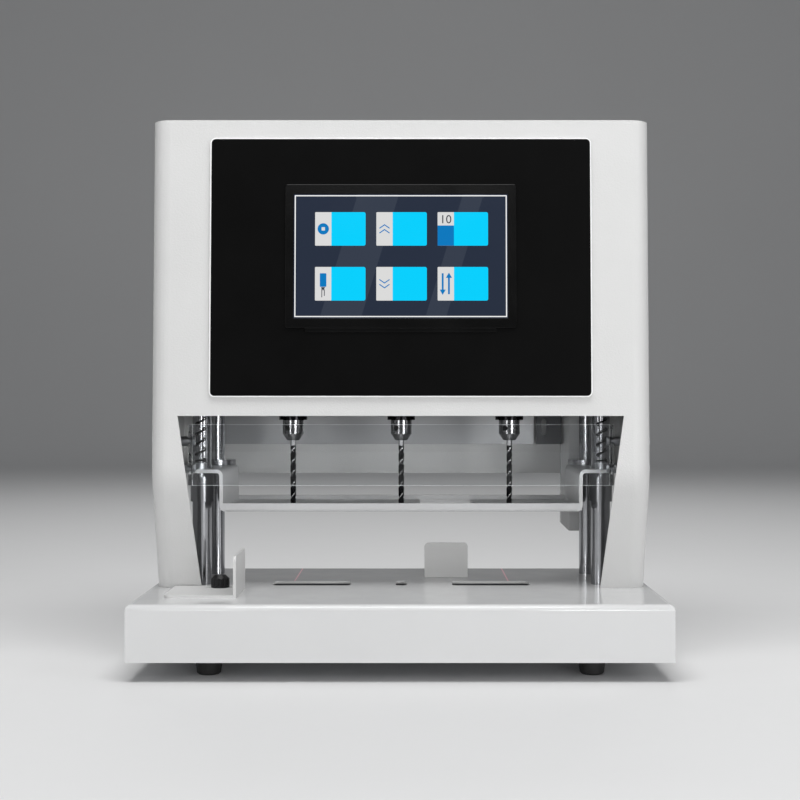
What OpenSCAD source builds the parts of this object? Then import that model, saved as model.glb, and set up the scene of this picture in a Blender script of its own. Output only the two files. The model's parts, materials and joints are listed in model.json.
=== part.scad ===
// Automatic three-spindle paper drill for the desk, with a touch screen.
// Millimetres, +Z up, front is -Y, origin on the floor under the middle of the base.

/* [Base] */
// Width of the base pan
base_w = 365; // [340:1:400]
// Depth of the base pan
base_d = 200; // [180:1:220]
// Height of the base pan
base_h = 38.5; // [34:0.5:46]
// Height of the rubber feet
foot_h = 13.5; // [9:0.5:18]
// Sheet thickness of the base and head
sheet_t = 1.6; // [1.2:0.1:2]
// Outside bend radius of the base pan
base_r = 4; // [3:0.5:6]

/* [Head] */
// Distance of the head's sides from the base's sides
head_inset = 5.5; // [4:0.5:9]
// Height of the head's top above the floor
head_top = 386.5; // [350:0.5:425]
// Height of the head's lower front edge above the table
throat_h = 124.5; // [122:0.5:128]
// Distance of the lower front edge from the base's front, as a share of the base's depth
setback_share = 0.28; // [0.27:0.005:0.29]
// Lean of the front face, in degrees
head_lean = 2.7; // [0:0.1:4]
// Radius of the head's upright front corners
head_r = 14; // [8:1:16]
// Height of the knee in the legs above the table
knee_h = 79; // [70:1:90]
// Slope of the legs below the knee, in degrees
leg_slope = 19; // [12:1:22]
// Height of the rear opening above the table
rear_gap_h = 77; // [60:1:84]

/* [Screen] */
// Width of the black control panel
panel_w = 268; // [220:1:280]
// Distance of the control panel from the head's upper and lower edges
panel_edge = 14; // [13:0.5:24]
// Width of the visible screen
screen_w = 151; // [140:1:160]
// Height of the visible screen
screen_h = 88; // [80:1:96]
// Width of the bezel round the screen
bezel_w = 6; // [4:0.5:8]

/* [Columns] */
// Diameter of the front posts
post_d = 14; // [12:0.5:15]
// Distance of the front posts from the head's sides
post_inset = 30; // [29:0.5:31]
// Diameter of the rear columns
column_d = 12.4; // [10:0.2:14]
// Distance of the rear columns from the head's sides
column_inset = 32; // [31:0.5:33]
// Distance from the front posts back to the rear columns, as a share of the base's depth
column_share = 0.31; // [0.3:0.005:0.32]

/* [Drills] */
// Pitch between neighbouring drills
drill_pitch = 80; // [74:1:84]
// Diameter of the twist drills
drill_d = 4.4; // [3:0.1:5]
// Diameter of the chuck's lower body
chuck_d = 15.6; // [14:0.2:17]
// Diameter of the drill motors
motor_d = 36; // [30:1:37]
// Travel of the drill head
head_travel = 54.5; // [40:0.5:54.5]

/* [Clamp] */
// Gap under the clamp when it is open
clamp_gap = 54.8; // [54.8:0.1:56]
// Distance of the clamp's end walls from the front posts
clamp_inset = 15.5; // [15:0.1:19]
// Height of the clamp from underside to flange top
clamp_h = 30.5; // [28:0.5:32]
// Sheet thickness of the clamp
clamp_t = 2.5; // [2:0.1:3]
// Outer diameter of the clamp springs
spring_d = 8.4; // [8.2:0.1:8.8]
// Wire diameter of the clamp springs
wire_d = 1.3; // [1:0.1:1.4]
// Number of curls in each clamp spring
curls = 10; // [8:1:11]

/* [Stops] */
// Width of the back stop
back_stop_w = 33; // [24:1:36]
// Height of the back stop
back_stop_h = 26.5; // [15:0.5:30]
// Length of the side stop
side_stop_l = 52; // [44:1:54]
// Height of the side stop
side_stop_h = 29; // [15:0.5:34]
// Diameter of the thumb knobs
knob_d = 13; // [11:0.5:14]

/* [Fits] */
// Radial clearance of a running fit
run_fit = 0.05; // [0.02:0.01:0.1]
// Gap between pieces that pass each other
pass_gap = 0.4; // [0.3:0.1:0.6]

/* [Hidden] */
$fn = 48;
eps = 0.01;

// Heights of the main levels
table_z = foot_h + base_h;
head_z = table_z + throat_h;
knee_z = table_z + knee_h;
clamp_z = table_z + clamp_gap;
flange_z = clamp_z + clamp_h;
plate_t = 8;
carriage_z = flange_z + 68.7;
carriage_top = carriage_z + plate_t;
crown_z = head_top - 68.5;
crown_top = crown_z + plate_t;
rear_z = table_z + rear_gap_h;

// Depths of the main planes
front_y = -base_d / 2 + base_d * setback_share;
rear_y = base_d / 2 - 2;
cover_y = rear_y - sheet_t;
post_share = 0.24;
post_y = front_y + base_d * post_share;
column_y = post_y + base_d * column_share;
drill_y = post_y + 4;
rod_y = post_y - 13;
screw_share = 0.22;
screw_y = drill_y + base_d * screw_share;

// Positions of the columns, rods and drills across the machine
side_x = base_w / 2 - head_inset;
inner_x = side_x - sheet_t;
post_x = side_x - post_inset;
column_x = side_x - column_inset;
rod_x = post_x - 1;

// Outer drill stations slide along the head to set the pitch
pitch_in = 36;
pitch_out = 8;
station_min = drill_pitch - pitch_in;
station_max = drill_pitch + pitch_out;
slot_w = 9;

// Table openings and cutting pads
table_t = 2;
mouth_w = 24;
mouth_r = 3;
mouth_end = 6.5;
hole_w = 8;
pad_t = 8;
pad_gap = 2;
pad_over = 4;
pad_z = table_z - table_t - pad_gap - pad_t;
tray_t = 1.5;
tray_wall = 8;
tray_w = mouth_w + 14;
tray_l = 2 * station_max + 40;

// Feet
foot_d = 20;
foot_tip_d = 16.5;
foot_x = base_w / 2 - 51;
foot_y = base_d / 2 - 34;
bottom_t = 1.5;

// Head front openings
open_top_x = side_x - 20;
open_knee_x = side_x - 26.5;
open_foot_x = side_x - 33.3;
panel_t = 2;
panel_r = 3;
panel_h = (head_top - head_z) / cos(head_lean) - 2 * panel_edge;
bezel_t = 1.6;
bezel_r = 2;
screen_sink = 0.6;
screen_share = 0.3;
screen_up = panel_edge + panel_h * screen_share;
housing_d = 21;

// Column ends and nuts
nut_h = 7;
nut_over = 9;
column_foot_z = table_z - table_t - nut_h;
column_end_z = crown_top + nut_h;
crown_front = post_y - 14;

// Carriage
carriage_x = column_x + 15;
carriage_front = rod_y - 6.5;
carriage_back = column_y + 16;
bush_wall = 4;
post_bush_wall = 2;
bush_l = 26;
hub_d = 13;
station_slot_w = hub_d + 2 * pass_gap;
saddle_w = motor_d + 4;
saddle_l = motor_d + 24;
saddle_t = 5;
motor_z = carriage_top + saddle_t;
motor_share = 0.586;
motor_l = (crown_z - motor_z) * motor_share;
motor_cap_h = 4;

// Lift screw, nut and coupling
screw_d = 10;
pillar_d = 27;
lead_nut_h = 16;
nut_flange_t = 4;
coupling_d = 19;
coupling_h = 24;
coupling_z = crown_z - coupling_h - 2;
nut_z = coupling_z - 2 * lead_nut_h;
screw_foot_z = nut_z - head_travel - 3;
motor_shaft_d = 8;
motor_shaft_l = 18;
lift_w = 56.4;
lift_h = 52;
lift_r = 5;
lift_foot_h = 2;
pilot_d = 22;

// Chuck and drill
shaft_d = 5;
shaft_in = 20;
nose_z = head_z - 18.5;
nose_h = 4.8;
rim_d = 20.7;
rim_z = nose_z + 15;
rim_h = 14;
rim_taper_h = 3;
teeth = 18;
tooth_w = 1.6;
tooth_h = 5;
key_hole_d = 4;
key_hole_up = 9;
key_hole_turn = -118;
chuck_top = carriage_z - 6;
drill_depth = 0.8;
tip_z = table_z - drill_depth + head_travel;
point_h = 1.3;
flute_l = nose_z - tip_z - point_h - 4;
flute_pitch = 17;
flute_slices = 36;
shank_in = 12;

// Clamp
clamp_half = post_x - clamp_inset;
clamp_front = rod_y - 6.5;
clamp_back = column_y + 10;
clamp_depth = clamp_back - clamp_front;
clamp_r = 4.5;
lip_h = 6;
flange_x = post_x + 13;
sleeve_wall = 1.4;
sleeve_l = 21.7;
bearing_d = 21;
bearing_flange_d = 30;
rod_d = 4.8;
rod_head_h = 4;
rod_nut_d = rod_d + 3;
seat_h = 4.5;
seat_d = 9.4;
spring_z = flange_z + seat_h;
spring_l = carriage_z - spring_z;

// Stops
stop_t = 2;
back_x = 34;
back_y = drill_y + 32;
back_travel = 6;
side_stop_x = -112.5;
side_back_y = clamp_front - 3;
side_travel = 8;
side_flange_w = 50;
side_foot_r = 6;
side_top_r = 4;
knob_h = 8.8;
knob_dome = 2.6;
knob_stem_d = 4;
knob_grips = 12;
grip_d = 2.6;
knob_grip_up = 1.5;
side_knob_x = side_stop_x - 16.5;
side_knob_y = side_back_y - 10;
back_knob_y = back_y + stop_t + back_travel + knob_d / 2 + 0.6;
back_foot_l = back_knob_y - back_y + back_travel + 5;

// Guard
guard_t = 3;
guard_r = 4;
guard_half = post_x + 6;
guard_z = knee_z - 4.4;
guard_h = 43.4;
guard_back = clamp_front - 2;
guard_d = 10.5;
guard_y = guard_back - guard_d;
guard_screw_d = 4;
guard_head_d = 6;
guard_screw_in = 12;
spacer_d = 7;
spacer_y = guard_back - 3.4;

// Sensor duct behind the right column
duct_x = column_x - 18;
duct_w = 24;
duct_y = carriage_back + 2.5;
duct_z = flange_z - head_travel + 0.7;
duct_top = carriage_z - 6;
duct_cut = 6;
bracket_w = 20;
bracket_t = 1.5;
bracket_slot_w = 4;
bracket_slot_x = 6;
bracket_slot_z = 9;
back_plate_y = carriage_back + 4;
back_plate_t = 3;
window_x = 40;
window_edge = 30;
inlet_room = 17;
back_plate_z = table_z + 100.6;

// Rear connections
inlet_x = -110;
inlet_z = head_z + 52;
inlet_w = 27;
inlet_h = 20;
inlet_depth = 19;
inlet_wall = 1.7;
inlet_floor = 3;
inlet_ear = 10.5;
inlet_flange_t = 1.8;
pin_w = 2;
pin_h = 4;
pin_l = 10;
pin_step = 7;
rocker_x = inlet_x + 48;
rocker_w = 13;
rocker_h = 19;
rocker_in = 3;
pivot_d = 3;
switch_w = 19;
switch_h = 24;
switch_depth = 16;
switch_rim = 2;
switch_rim_t = 0.8;
switch_well = 8;

// Rear cover
vent_l = 16;
vent_w = 3;
vent_step_x = 26;
vent_step_z = 7;
high_vent_x = -65;
high_vent_z = head_z + 110;
low_vent_x = 8;
low_vent_z = rear_z + 30;
cover_screw_d = 3;
cover_head_d = 6;

// Control board and power supply on the crown
board_t = 1.6;
board_up = 6;
board_x0 = 60;
board_x1 = post_x - (post_d + nut_over) / 2 - 3;
board_y0 = crown_front + 4;
board_y1 = carriage_back - 34;
standoff_d = 5;
supply_w = 80;
supply_x0 = -board_x1;
supply_x1 = supply_x0 + supply_w;
supply_y0 = crown_front + 2;
supply_y1 = carriage_back - 24;
supply_h = 38;

// Shared shapes

module bar(d, z0, z1) {
  translate([0, 0, z0]) cylinder(d = d, h = z1 - z0);
}

module tube(d, bore, z0, z1) {
  difference() {
    bar(d, z0, z1);
    bar(bore, z0 - 1, z1 + 1);
  }
}

// Box between two corners
module span(a, b) {
  translate(a) cube(b - a);
}

// Flat slot outline along X between two centres
module slot_outline(x0, x1, w) {
  if (x1 > x0) translate([x0, -w / 2]) square([x1 - x0, w]);
  translate([x0, 0]) circle(d = w);
  translate([x1, 0]) circle(d = w);
}

module round_rect(w, h, r) {
  square([w - 2 * r, h], center = true);
  square([w, h - 2 * r], center = true);
  for (sx = [-1, 1], sy = [-1, 1])
    translate([sx * (w / 2 - r), sy * (h / 2 - r)]) circle(r);
}

// Places children on both front posts, both rear columns or all four
module at_posts() {
  for (s = [-1, 1]) translate([s * post_x, post_y, 0]) children();
}

module at_columns() {
  for (s = [-1, 1]) translate([s * column_x, column_y, 0]) children();
}

module at_rods() {
  for (s = [-1, 1]) translate([s * rod_x, rod_y, 0]) children();
}

// Local frame of the leaning front face: X across, Y into the head, Z up the face
module on_front() {
  translate([0, front_y, head_z]) rotate([-head_lean, 0, 0]) children();
}

// Base

module pan_profile(w, h, r) {
  translate([-w / 2, -h]) square([w, h - r]);
  translate([-w / 2 + r, -h]) square([w - 2 * r, h]);
  for (s = [-1, 1]) translate([s * (w / 2 - r), -r]) circle(r);
}

module pan_block(inset, h) {
  w = base_w - 2 * inset;
  d = base_d - 2 * inset;
  r = base_r - inset;
  intersection() {
    rotate([90, 0, 0]) translate([0, 0, -d / 2]) linear_extrude(d) pan_profile(w, h, r);
    rotate([90, 0, 90]) translate([0, 0, -w / 2]) linear_extrude(w) pan_profile(d, h, r);
  }
}

// Outlines of the three openings in the table, grown by over
module mouths(over) {
  round_rect(hole_w + 2 * over, mouth_w + 2 * over, mouth_r + over);
  for (s = [-1, 1]) translate([s * (station_min + station_max) / 2, 0])
    round_rect(station_max - station_min + 2 * (mouth_end + over), mouth_w + 2 * over, mouth_r + over);
}

module base_pan() {
  color("gainsboro") difference() {
    translate([0, 0, table_z]) pan_block(0, base_h);
    translate([0, 0, table_z - table_t]) pan_block(sheet_t, base_h);
    at_posts() bar(post_d, table_z - 5, table_z + 1);
    at_columns() bar(column_d, table_z - 5, table_z + 1);
    translate([0, drill_y, table_z - table_t - 1]) linear_extrude(table_t + 2) mouths(0);
    translate([side_knob_x, side_knob_y, 0]) bar(knob_stem_d + 2 * run_fit, table_z - 5, table_z + 1);
    translate([back_x, back_knob_y, 0]) bar(knob_stem_d + 2 * run_fit, table_z - 5, table_z + 1);
  }
}

module at_feet() {
  for (sx = [-1, 1], sy = [-1, 1]) translate([sx * foot_x, sy * foot_y, 0]) children();
}

module bottom_plate() {
  color("darkgray") difference() {
    span([-base_w / 2 + sheet_t, -base_d / 2 + sheet_t, foot_h],
         [base_w / 2 - sheet_t, base_d / 2 - sheet_t, foot_h + bottom_t]);
    at_feet() bar(knob_stem_d, 0, table_z);
    for (i = [-4:4]) translate([i * 14, 60, foot_h - 1]) linear_extrude(bottom_t + 2)
      rotate(90) slot_outline(-12, 12, 4);
  }
}

module rubber_feet() {
  color("black") at_feet() difference() {
    union() {
      translate([0, 0, 1]) cylinder(d1 = foot_tip_d, d2 = foot_d, h = foot_h - 1);
      cylinder(d1 = foot_tip_d - 2, d2 = foot_tip_d, h = 1);
    }
    bar(9, -1, 5);
    bar(knob_stem_d, 0, foot_h + 1);
  }
}

module foot_screws() {
  color("silver") at_feet() {
    bar(8, 2.4, 5);
    bar(knob_stem_d, 5 - eps, foot_h + bottom_t + 3);
  }
}

// Columns and crown

module post() {
  color("silver") bar(post_d, column_foot_z, column_end_z);
}

module column() {
  color("silver") bar(column_d, column_foot_z, column_end_z);
}

module column_nuts() {
  color("dimgray") {
    for (z = [column_foot_z, crown_top]) {
      at_posts() hex_nut(post_d, z);
      at_columns() hex_nut(column_d, z);
    }
  }
}

module hex_nut(bore, z) {
  difference() {
    translate([0, 0, z]) cylinder(d = bore + nut_over, h = nut_h, $fn = 6);
    bar(bore, z - 1, z + nut_h + 1);
  }
}

module crown_plate() {
  color("slategray") difference() {
    span([-carriage_x, crown_front, crown_z], [carriage_x, back_plate_y, crown_top]);
    at_posts() bar(post_d, crown_z - 1, crown_top + 1);
    at_columns() bar(column_d, crown_z - 1, crown_top + 1);
    at_screw() bar(pilot_d, crown_z - 1, crown_top + 1);
  }
}

// Head covers

// Plan of the head seen from above, with its front edge on Y = 0
module head_plan(inset) {
  r = head_r - inset;
  x = side_x - inset;
  d = 3 * base_d;
  translate([-x, inset + r]) square([2 * x, d]);
  translate([-x + r, inset]) square([2 * (x - r), d]);
  for (s = [-1, 1]) translate([s * (x - r), inset + r]) circle(r);
}

// Solid within the head and legs, shrunk by inset; over runs out at the rear and below.
// It is the space common to an upright prism that leans back and one that leans forward.
module head_block(inset, over) {
  big = 3 * base_w;
  knee_y = front_y - tan(head_lean) * (head_z - knee_z);
  intersection() {
    on_front() translate([0, 0, -big / 2]) linear_extrude(big) head_plan(inset);
    translate([0, knee_y, knee_z]) rotate([leg_slope, 0, 0]) translate([0, 0, -big / 2])
      linear_extrude(big) head_plan(inset);
    span([-big, -big, table_z - over], [big, rear_y + over, head_top - inset]);
  }
}

module front_opening() {
  rotate([90, 0, 0]) translate([0, 0, -front_y - 30]) linear_extrude(80)
    polygon([[-open_top_x, head_z], [open_top_x, head_z], [open_knee_x, knee_z], [open_foot_x, table_z - 1],
             [-open_foot_x, table_z - 1], [-open_knee_x, knee_z]]);
}

module head_shell() {
  color("whitesmoke") difference() {
    head_block(0, 0);
    head_block(sheet_t, 5);
    front_opening();
    on_front() translate([0, 0, screen_up + screen_h / 2]) rotate([90, 0, 0])
      translate([0, 0, -15]) linear_extrude(20) square([screen_w + 8, screen_h + 8], center = true);
    at_guard_screws() cylinder(d = guard_screw_d, h = base_w);
  }
}

module vent_rows(x0, columns, z0, rows) {
  for (i = [0:columns - 1], k = [0:rows - 1])
    translate([x0 + i * vent_step_x, rear_y + 1, z0 + k * vent_step_z]) rotate([90, 0, 0])
      linear_extrude(sheet_t + 2) slot_outline(-vent_l / 2, vent_l / 2, vent_w);
}

module at_cover_screws() {
  for (s = [-1, 1], z = [rear_z + 12, (rear_z + head_top) / 2, head_top - 14])
    translate([s * (inner_x - 9), rear_y, z]) rotate([-90, 0, 0]) children();
}

// Block through the rear cover, centred on the connections' height
module through_cover(x, w, h) {
  span([x - w / 2, 0, inlet_z - h / 2], [x + w / 2, base_d, inlet_z + h / 2]);
}

module rear_cover() {
  color("whitesmoke") difference() {
    span([-inner_x, cover_y, rear_z], [inner_x, rear_y, head_top - sheet_t]);
    vent_rows(high_vent_x, 6, high_vent_z, 6);
    vent_rows(low_vent_x, 4, low_vent_z, 4);
    at_cover_screws() translate([0, 0, -5]) cylinder(d = cover_screw_d, h = 10);
    through_cover(inlet_x, inlet_w, inlet_h);
    through_cover(rocker_x, switch_w, switch_h);
  }
}

module cover_screws() {
  color("silver") at_cover_screws() {
    cylinder(d = cover_head_d, h = 1.6);
    translate([0, 0, -7]) cylinder(d = cover_screw_d, h = 7 + eps);
  }
}

// Control panel

module control_panel() {
  color("black") on_front() translate([0, 0, panel_edge + panel_h / 2]) rotate([90, 0, 0])
    linear_extrude(panel_t) difference() {
      round_rect(panel_w, panel_h, panel_r);
      translate([0, screen_up - panel_edge + screen_h / 2 - panel_h / 2])
        square([screen_w + 4, screen_h + 4], center = true);
    }
}

module on_screen() {
  on_front() translate([0, -panel_t, screen_up + screen_h / 2]) rotate([90, 0, 0]) children();
}

module screen_bezel() {
  color("black") on_screen() {
    linear_extrude(bezel_t) difference() {
      round_rect(screen_w + 2 * bezel_w, screen_h + 2 * bezel_w + 2, bezel_r);
      square([screen_w, screen_h], center = true);
    }
    translate([0, -screen_h / 2 - bezel_w - 2, 0]) linear_extrude(bezel_t * 0.6)
      square([screen_w - 16, 4], center = true);
  }
}

module touch_screen() {
  color("darkslategray") on_screen() linear_extrude(bezel_t - screen_sink)
    square([screen_w, screen_h], center = true);
}

module display_housing() {
  color("dimgray") on_screen() translate([0, 0, -housing_d]) linear_extrude(housing_d)
    square([screen_w + 3, screen_h + 3], center = true);
}

// Electrical pieces on the crown

module control_board() {
  z = crown_top + board_up;
  top = z + board_t - eps;
  color("seagreen") {
    span([board_x0, board_y0, z], [board_x1, board_y1, z + board_t]);
    translate([board_x0 + 12, board_y0 + 6, top]) cube([20, 20, 7.4]);
    translate([board_x0 + 40, board_y0 + 8, top]) cube([24, 10, 11.4]);
    for (x = [board_x0 + 4, board_x1 - 4], y = [board_y0 + 4, board_y1 - 4])
      translate([x, y, 0]) bar(standoff_d, crown_top, z + eps);
  }
}

module power_supply() {
  slot_l = 36;
  slot_step = 10;
  color("silver") difference() {
    span([supply_x0, supply_y0, crown_top], [supply_x1, supply_y1, crown_top + supply_h]);
    for (i = [0:6])
      translate([supply_x0 + (i + 1) * slot_step, (supply_y0 + supply_y1) / 2, crown_top + supply_h - 2])
        linear_extrude(3) rotate(90) slot_outline(-slot_l / 2, slot_l / 2, 4);
  }
}

// Box on the rear cover, centred on x, from a depth inside to a height outside
module rear_box(x, w, h, inside, outside) {
  span([x - w / 2, rear_y - inside, inlet_z - h / 2], [x + w / 2, rear_y + outside, inlet_z + h / 2]);
}

module power_inlet() {
  floor_y = rear_y - inlet_depth + inlet_floor;
  color("black") difference() {
    union() {
      rear_box(inlet_x, inlet_w + 2 * inlet_ear, inlet_h + 6, 0, inlet_flange_t);
      rear_box(inlet_x, inlet_w, inlet_h, inlet_depth, eps);
    }
    rear_box(inlet_x, inlet_w - 2 * inlet_wall, inlet_h - 2 * inlet_wall, inlet_depth - inlet_floor, 5);
  }
  color("silver") for (i = [-1, 0, 1])
    translate([inlet_x + i * pin_step - pin_w / 2, floor_y - eps, inlet_z - pin_h / 2 + (i == 0 ? 3 : -1)])
      cube([pin_w, pin_l, pin_h]);
}

module switch_body() {
  color("black") difference() {
    union() {
      rear_box(rocker_x, switch_w + 2 * switch_rim, switch_h + 2 * switch_rim, 0, switch_rim_t);
      rear_box(rocker_x, switch_w, switch_h, switch_depth, eps);
    }
    rear_box(rocker_x, rocker_w + 2 * pass_gap, rocker_h + 2 * pass_gap, switch_well, 5);
    translate([rocker_x, rear_y - rocker_in, inlet_z]) rotate([0, 90, 0])
      cylinder(d = pivot_d + 2 * run_fit, h = rocker_w + 4, center = true);
  }
}

module power_rocker() {
  half = rocker_h / 2 - 1;
  color("black") translate([rocker_x, rear_y - rocker_in, inlet_z]) {
    rotate([0, 90, 0]) cylinder(d = pivot_d, h = rocker_w + 3, center = true);
    rotate([90, 0, 90]) translate([0, 0, -rocker_w / 2]) linear_extrude(rocker_w)
      polygon([[-2.4, 0], [0, -half], [1.9, -half], [3, 0], [3.4, half], [0, half]]);
  }
}

// Clear guard between the legs

module guard_outline(inset) {
  x = guard_half - inset;
  r = guard_r - inset;
  d = guard_back - guard_y;
  translate([-x, r + inset]) square([2 * x, d - r - inset + (inset > 0 ? 5 : 0)]);
  translate([-x + r, inset]) square([2 * (x - r), d - inset]);
  for (s = [-1, 1]) translate([s * (x - r), r + inset]) circle(r);
}

module at_guard_screws() {
  for (s = [-1, 1], z = [guard_z + guard_screw_in, guard_z + guard_h - guard_screw_in])
    translate([s * guard_half, spacer_y, z]) rotate([0, s * 90, 0]) children();
}

module guard_shield() {
  color([0.85, 0.9, 0.95, 0.4]) difference() {
    translate([0, guard_y, guard_z]) linear_extrude(guard_h) difference() {
      guard_outline(0);
      guard_outline(guard_t);
    }
    at_guard_screws() translate([0, 0, -guard_t - 1]) cylinder(d = guard_screw_d, h = guard_t + 2);
  }
}

module guard_spacers() {
  h = inner_x - guard_half;
  color("silver") at_guard_screws() difference() {
    cylinder(d = spacer_d, h = h);
    translate([0, 0, -1]) cylinder(d = guard_screw_d, h = h + 2);
  }
}

module guard_screws() {
  h = side_x - guard_half;
  color("silver") at_guard_screws() {
    translate([0, 0, -guard_t - 1]) cylinder(d = guard_screw_d, h = h + guard_t + 2);
    translate([0, 0, -guard_t - 2]) cylinder(d = guard_head_d, h = 2);
    translate([0, 0, h]) cylinder(d = guard_head_d, h = 1.8);
  }
}

// Lift drive

module at_screw() {
  translate([0, screw_y, 0]) children();
}

module lift_motor() {
  z = crown_top + lift_foot_h;
  color("dimgray") at_screw() difference() {
    union() {
      translate([0, 0, z]) linear_extrude(lift_h) round_rect(lift_w, lift_w, lift_r);
      bar(pilot_d, crown_top - 1.6, z + eps);
      translate([0, 0, crown_top]) linear_extrude(lift_foot_h + eps) square(lift_w - 8, center = true);
    }
    bar(motor_shaft_d + 2 * run_fit, crown_z, z + motor_shaft_l);
  }
}

module screw_coupling() {
  color("silver") at_screw() difference() {
    union() {
      bar(coupling_d, coupling_z, coupling_z + coupling_h);
      bar(motor_shaft_d, coupling_z + coupling_h - eps, crown_top + motor_shaft_l);
    }
    bar(screw_d, coupling_z - 1, coupling_z + coupling_h / 2);
    for (s = [-1, 1]) translate([s * coupling_d * 0.6, 0, coupling_z + coupling_h * (0.5 + s * 0.12)])
      cube([coupling_d * 0.7, coupling_d + 2, 1.2], center = true);
  }
}

module lead_screw() {
  color("silver") at_screw() {
    bar(screw_d, screw_foot_z + 1, coupling_z + coupling_h / 2);
    translate([0, 0, screw_foot_z]) cylinder(d1 = screw_d - 2, d2 = screw_d, h = 1 + eps);
  }
}

// Cutting pads under the table

module cutting_pads() {
  color("white") translate([0, drill_y, pad_z]) linear_extrude(pad_t) mouths(pad_over);
}

module pad_tray() {
  color("silver") translate([0, drill_y, 0]) {
    span([-tray_l / 2, -tray_w / 2, pad_z - tray_t], [tray_l / 2, tray_w / 2, pad_z]);
    for (s = [-1, 1])
      span([s * tray_l / 2 - tray_wall / 2, -tray_w / 2, pad_z - eps],
           [s * tray_l / 2 + tray_wall / 2, tray_w / 2, table_z - table_t]);
  }
}

// Sensors behind the right column

module sensor_duct() {
  color("gainsboro") intersection() {
    translate([0, 0, duct_z]) linear_extrude(duct_top - duct_z)
      polygon([[duct_x, duct_y + duct_cut], [duct_x + duct_cut, duct_y], [duct_x + duct_w, duct_y],
               [duct_x + duct_w, cover_y], [duct_x, cover_y]]);
    rotate([90, 0, 0]) translate([0, 0, -base_d]) linear_extrude(2 * base_d)
      polygon([[duct_x, duct_z + duct_cut], [duct_x + duct_cut, duct_z], [duct_x + duct_w, duct_z],
               [duct_x + duct_w, duct_top], [duct_x, duct_top]]);
  }
}

module sensor_bracket() {
  x0 = duct_x - bracket_w;
  color("dimgray") difference() {
    union() {
      span([x0, duct_y, back_plate_z], [duct_x, duct_y + bracket_t, duct_top]);
      span([duct_x - bracket_t, duct_y, back_plate_z], [duct_x, cover_y, duct_top]);
    }
    translate([x0 + bracket_slot_x, duct_y + 2 * bracket_t, back_plate_z]) rotate([90, 0, 0])
      linear_extrude(3 * bracket_t) rotate(90)
        slot_outline(bracket_slot_z, 2 * bracket_slot_z, bracket_slot_w);
  }
}

module back_plate() {
  color("gray") difference() {
    span([-carriage_x, back_plate_y, back_plate_z],
         [duct_x - bracket_w - 2, back_plate_y + back_plate_t, crown_top]);
    span([-window_x, 0, head_z + window_edge], [window_x, base_d, crown_z - window_edge]);
    span([inlet_x - inlet_room, 0, inlet_z - inlet_room],
         [rocker_x + inlet_room, base_d, inlet_z + inlet_room]);
  }
}

// Paper stops

module side_stop() {
  x1 = side_stop_x;
  x0 = x1 - side_flange_w;
  y0 = side_back_y - side_stop_l;
  r = side_foot_r;
  color("whitesmoke") difference() {
    union() {
      translate([0, 0, table_z]) linear_extrude(stop_t) {
        translate([x0 + r, y0]) square([x1 - x0 - r, side_stop_l - 2]);
        translate([x0, y0 + r]) square([r + 1, side_stop_l - 2 - r]);
        translate([x0 + r, y0 + r]) circle(r);
      }
      rotate([90, 0, 90]) translate([0, 0, x1 - stop_t]) linear_extrude(stop_t)
        translate([y0 + side_stop_l / 2, table_z + side_stop_h / 2]) {
          round_rect(side_stop_l, side_stop_h, side_top_r);
          translate([0, -side_stop_h / 4]) square([side_stop_l, side_stop_h / 2], center = true);
        }
    }
    translate([side_knob_x, side_knob_y, table_z - 1]) linear_extrude(stop_t + 2)
      slot_outline(-side_travel, side_travel, knob_stem_d + 2 * pass_gap);
  }
}

// Thumb knob with a fluted grip standing on z, its stem running down to z_stem
module thumb_knob(z, z_stem) {
  color([0.06, 0.06, 0.06]) difference() {
    union() {
      bar(knob_d, z, z + knob_h - knob_dome);
      translate([0, 0, z + knob_h - knob_dome])
        cylinder(d1 = knob_d, d2 = knob_d - 2 * knob_dome, h = knob_dome);
      bar(knob_stem_d, z_stem, z + eps);
    }
    for (i = [1:knob_grips]) rotate(i * 360 / knob_grips)
      translate([(knob_d + grip_d / 2) / 2, 0, 0]) bar(grip_d, z + knob_grip_up, z + knob_h + 1);
  }
}

module side_knob() {
  translate([side_knob_x, side_knob_y, 0]) thumb_knob(table_z + stop_t, table_z - table_t - 4);
}

module back_stop() {
  r = 3;
  color("whitesmoke") difference() {
    union() {
      translate([back_x, back_y + stop_t, table_z + back_stop_h / 2]) rotate([90, 0, 0])
        linear_extrude(stop_t) {
          round_rect(back_stop_w, back_stop_h, r);
          translate([0, -back_stop_h / 4]) square([back_stop_w, back_stop_h / 2], center = true);
        }
      span([back_x - back_stop_w / 2 + 6, back_y, table_z],
           [back_x + back_stop_w / 2 - 6, back_y + back_foot_l, table_z + stop_t]);
    }
    translate([back_x, back_knob_y, table_z - 1]) linear_extrude(stop_t + 2)
      rotate(90) slot_outline(-back_travel, back_travel, knob_stem_d + 2 * pass_gap);
  }
}

module back_knob() {
  translate([back_x, back_knob_y, 0]) thumb_knob(table_z + stop_t, table_z - table_t - 4);
}

// Drill head

module carriage_plate() {
  color("slategray") difference() {
    span([-carriage_x, carriage_front, carriage_z], [carriage_x, carriage_back, carriage_top]);
    at_posts() bar(post_d + 2 * post_bush_wall, carriage_z - 1, carriage_top + 1);
    at_columns() bar(column_d + 2 * bush_wall, carriage_z - 1, carriage_top + 1);
    at_rods() bar(rod_d + 2 * run_fit, carriage_z - 1, carriage_top + 1);
    at_screw() bar(screw_d + 4, carriage_z - 1, carriage_top + 1);
    translate([0, drill_y, carriage_z - 1]) linear_extrude(plate_t + 2) {
      circle(d = station_slot_w);
      for (s = [-1, 1])
        slot_outline(s * (s > 0 ? station_min : station_max), s * (s > 0 ? station_max : station_min),
                     station_slot_w);
    }
  }
}

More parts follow.
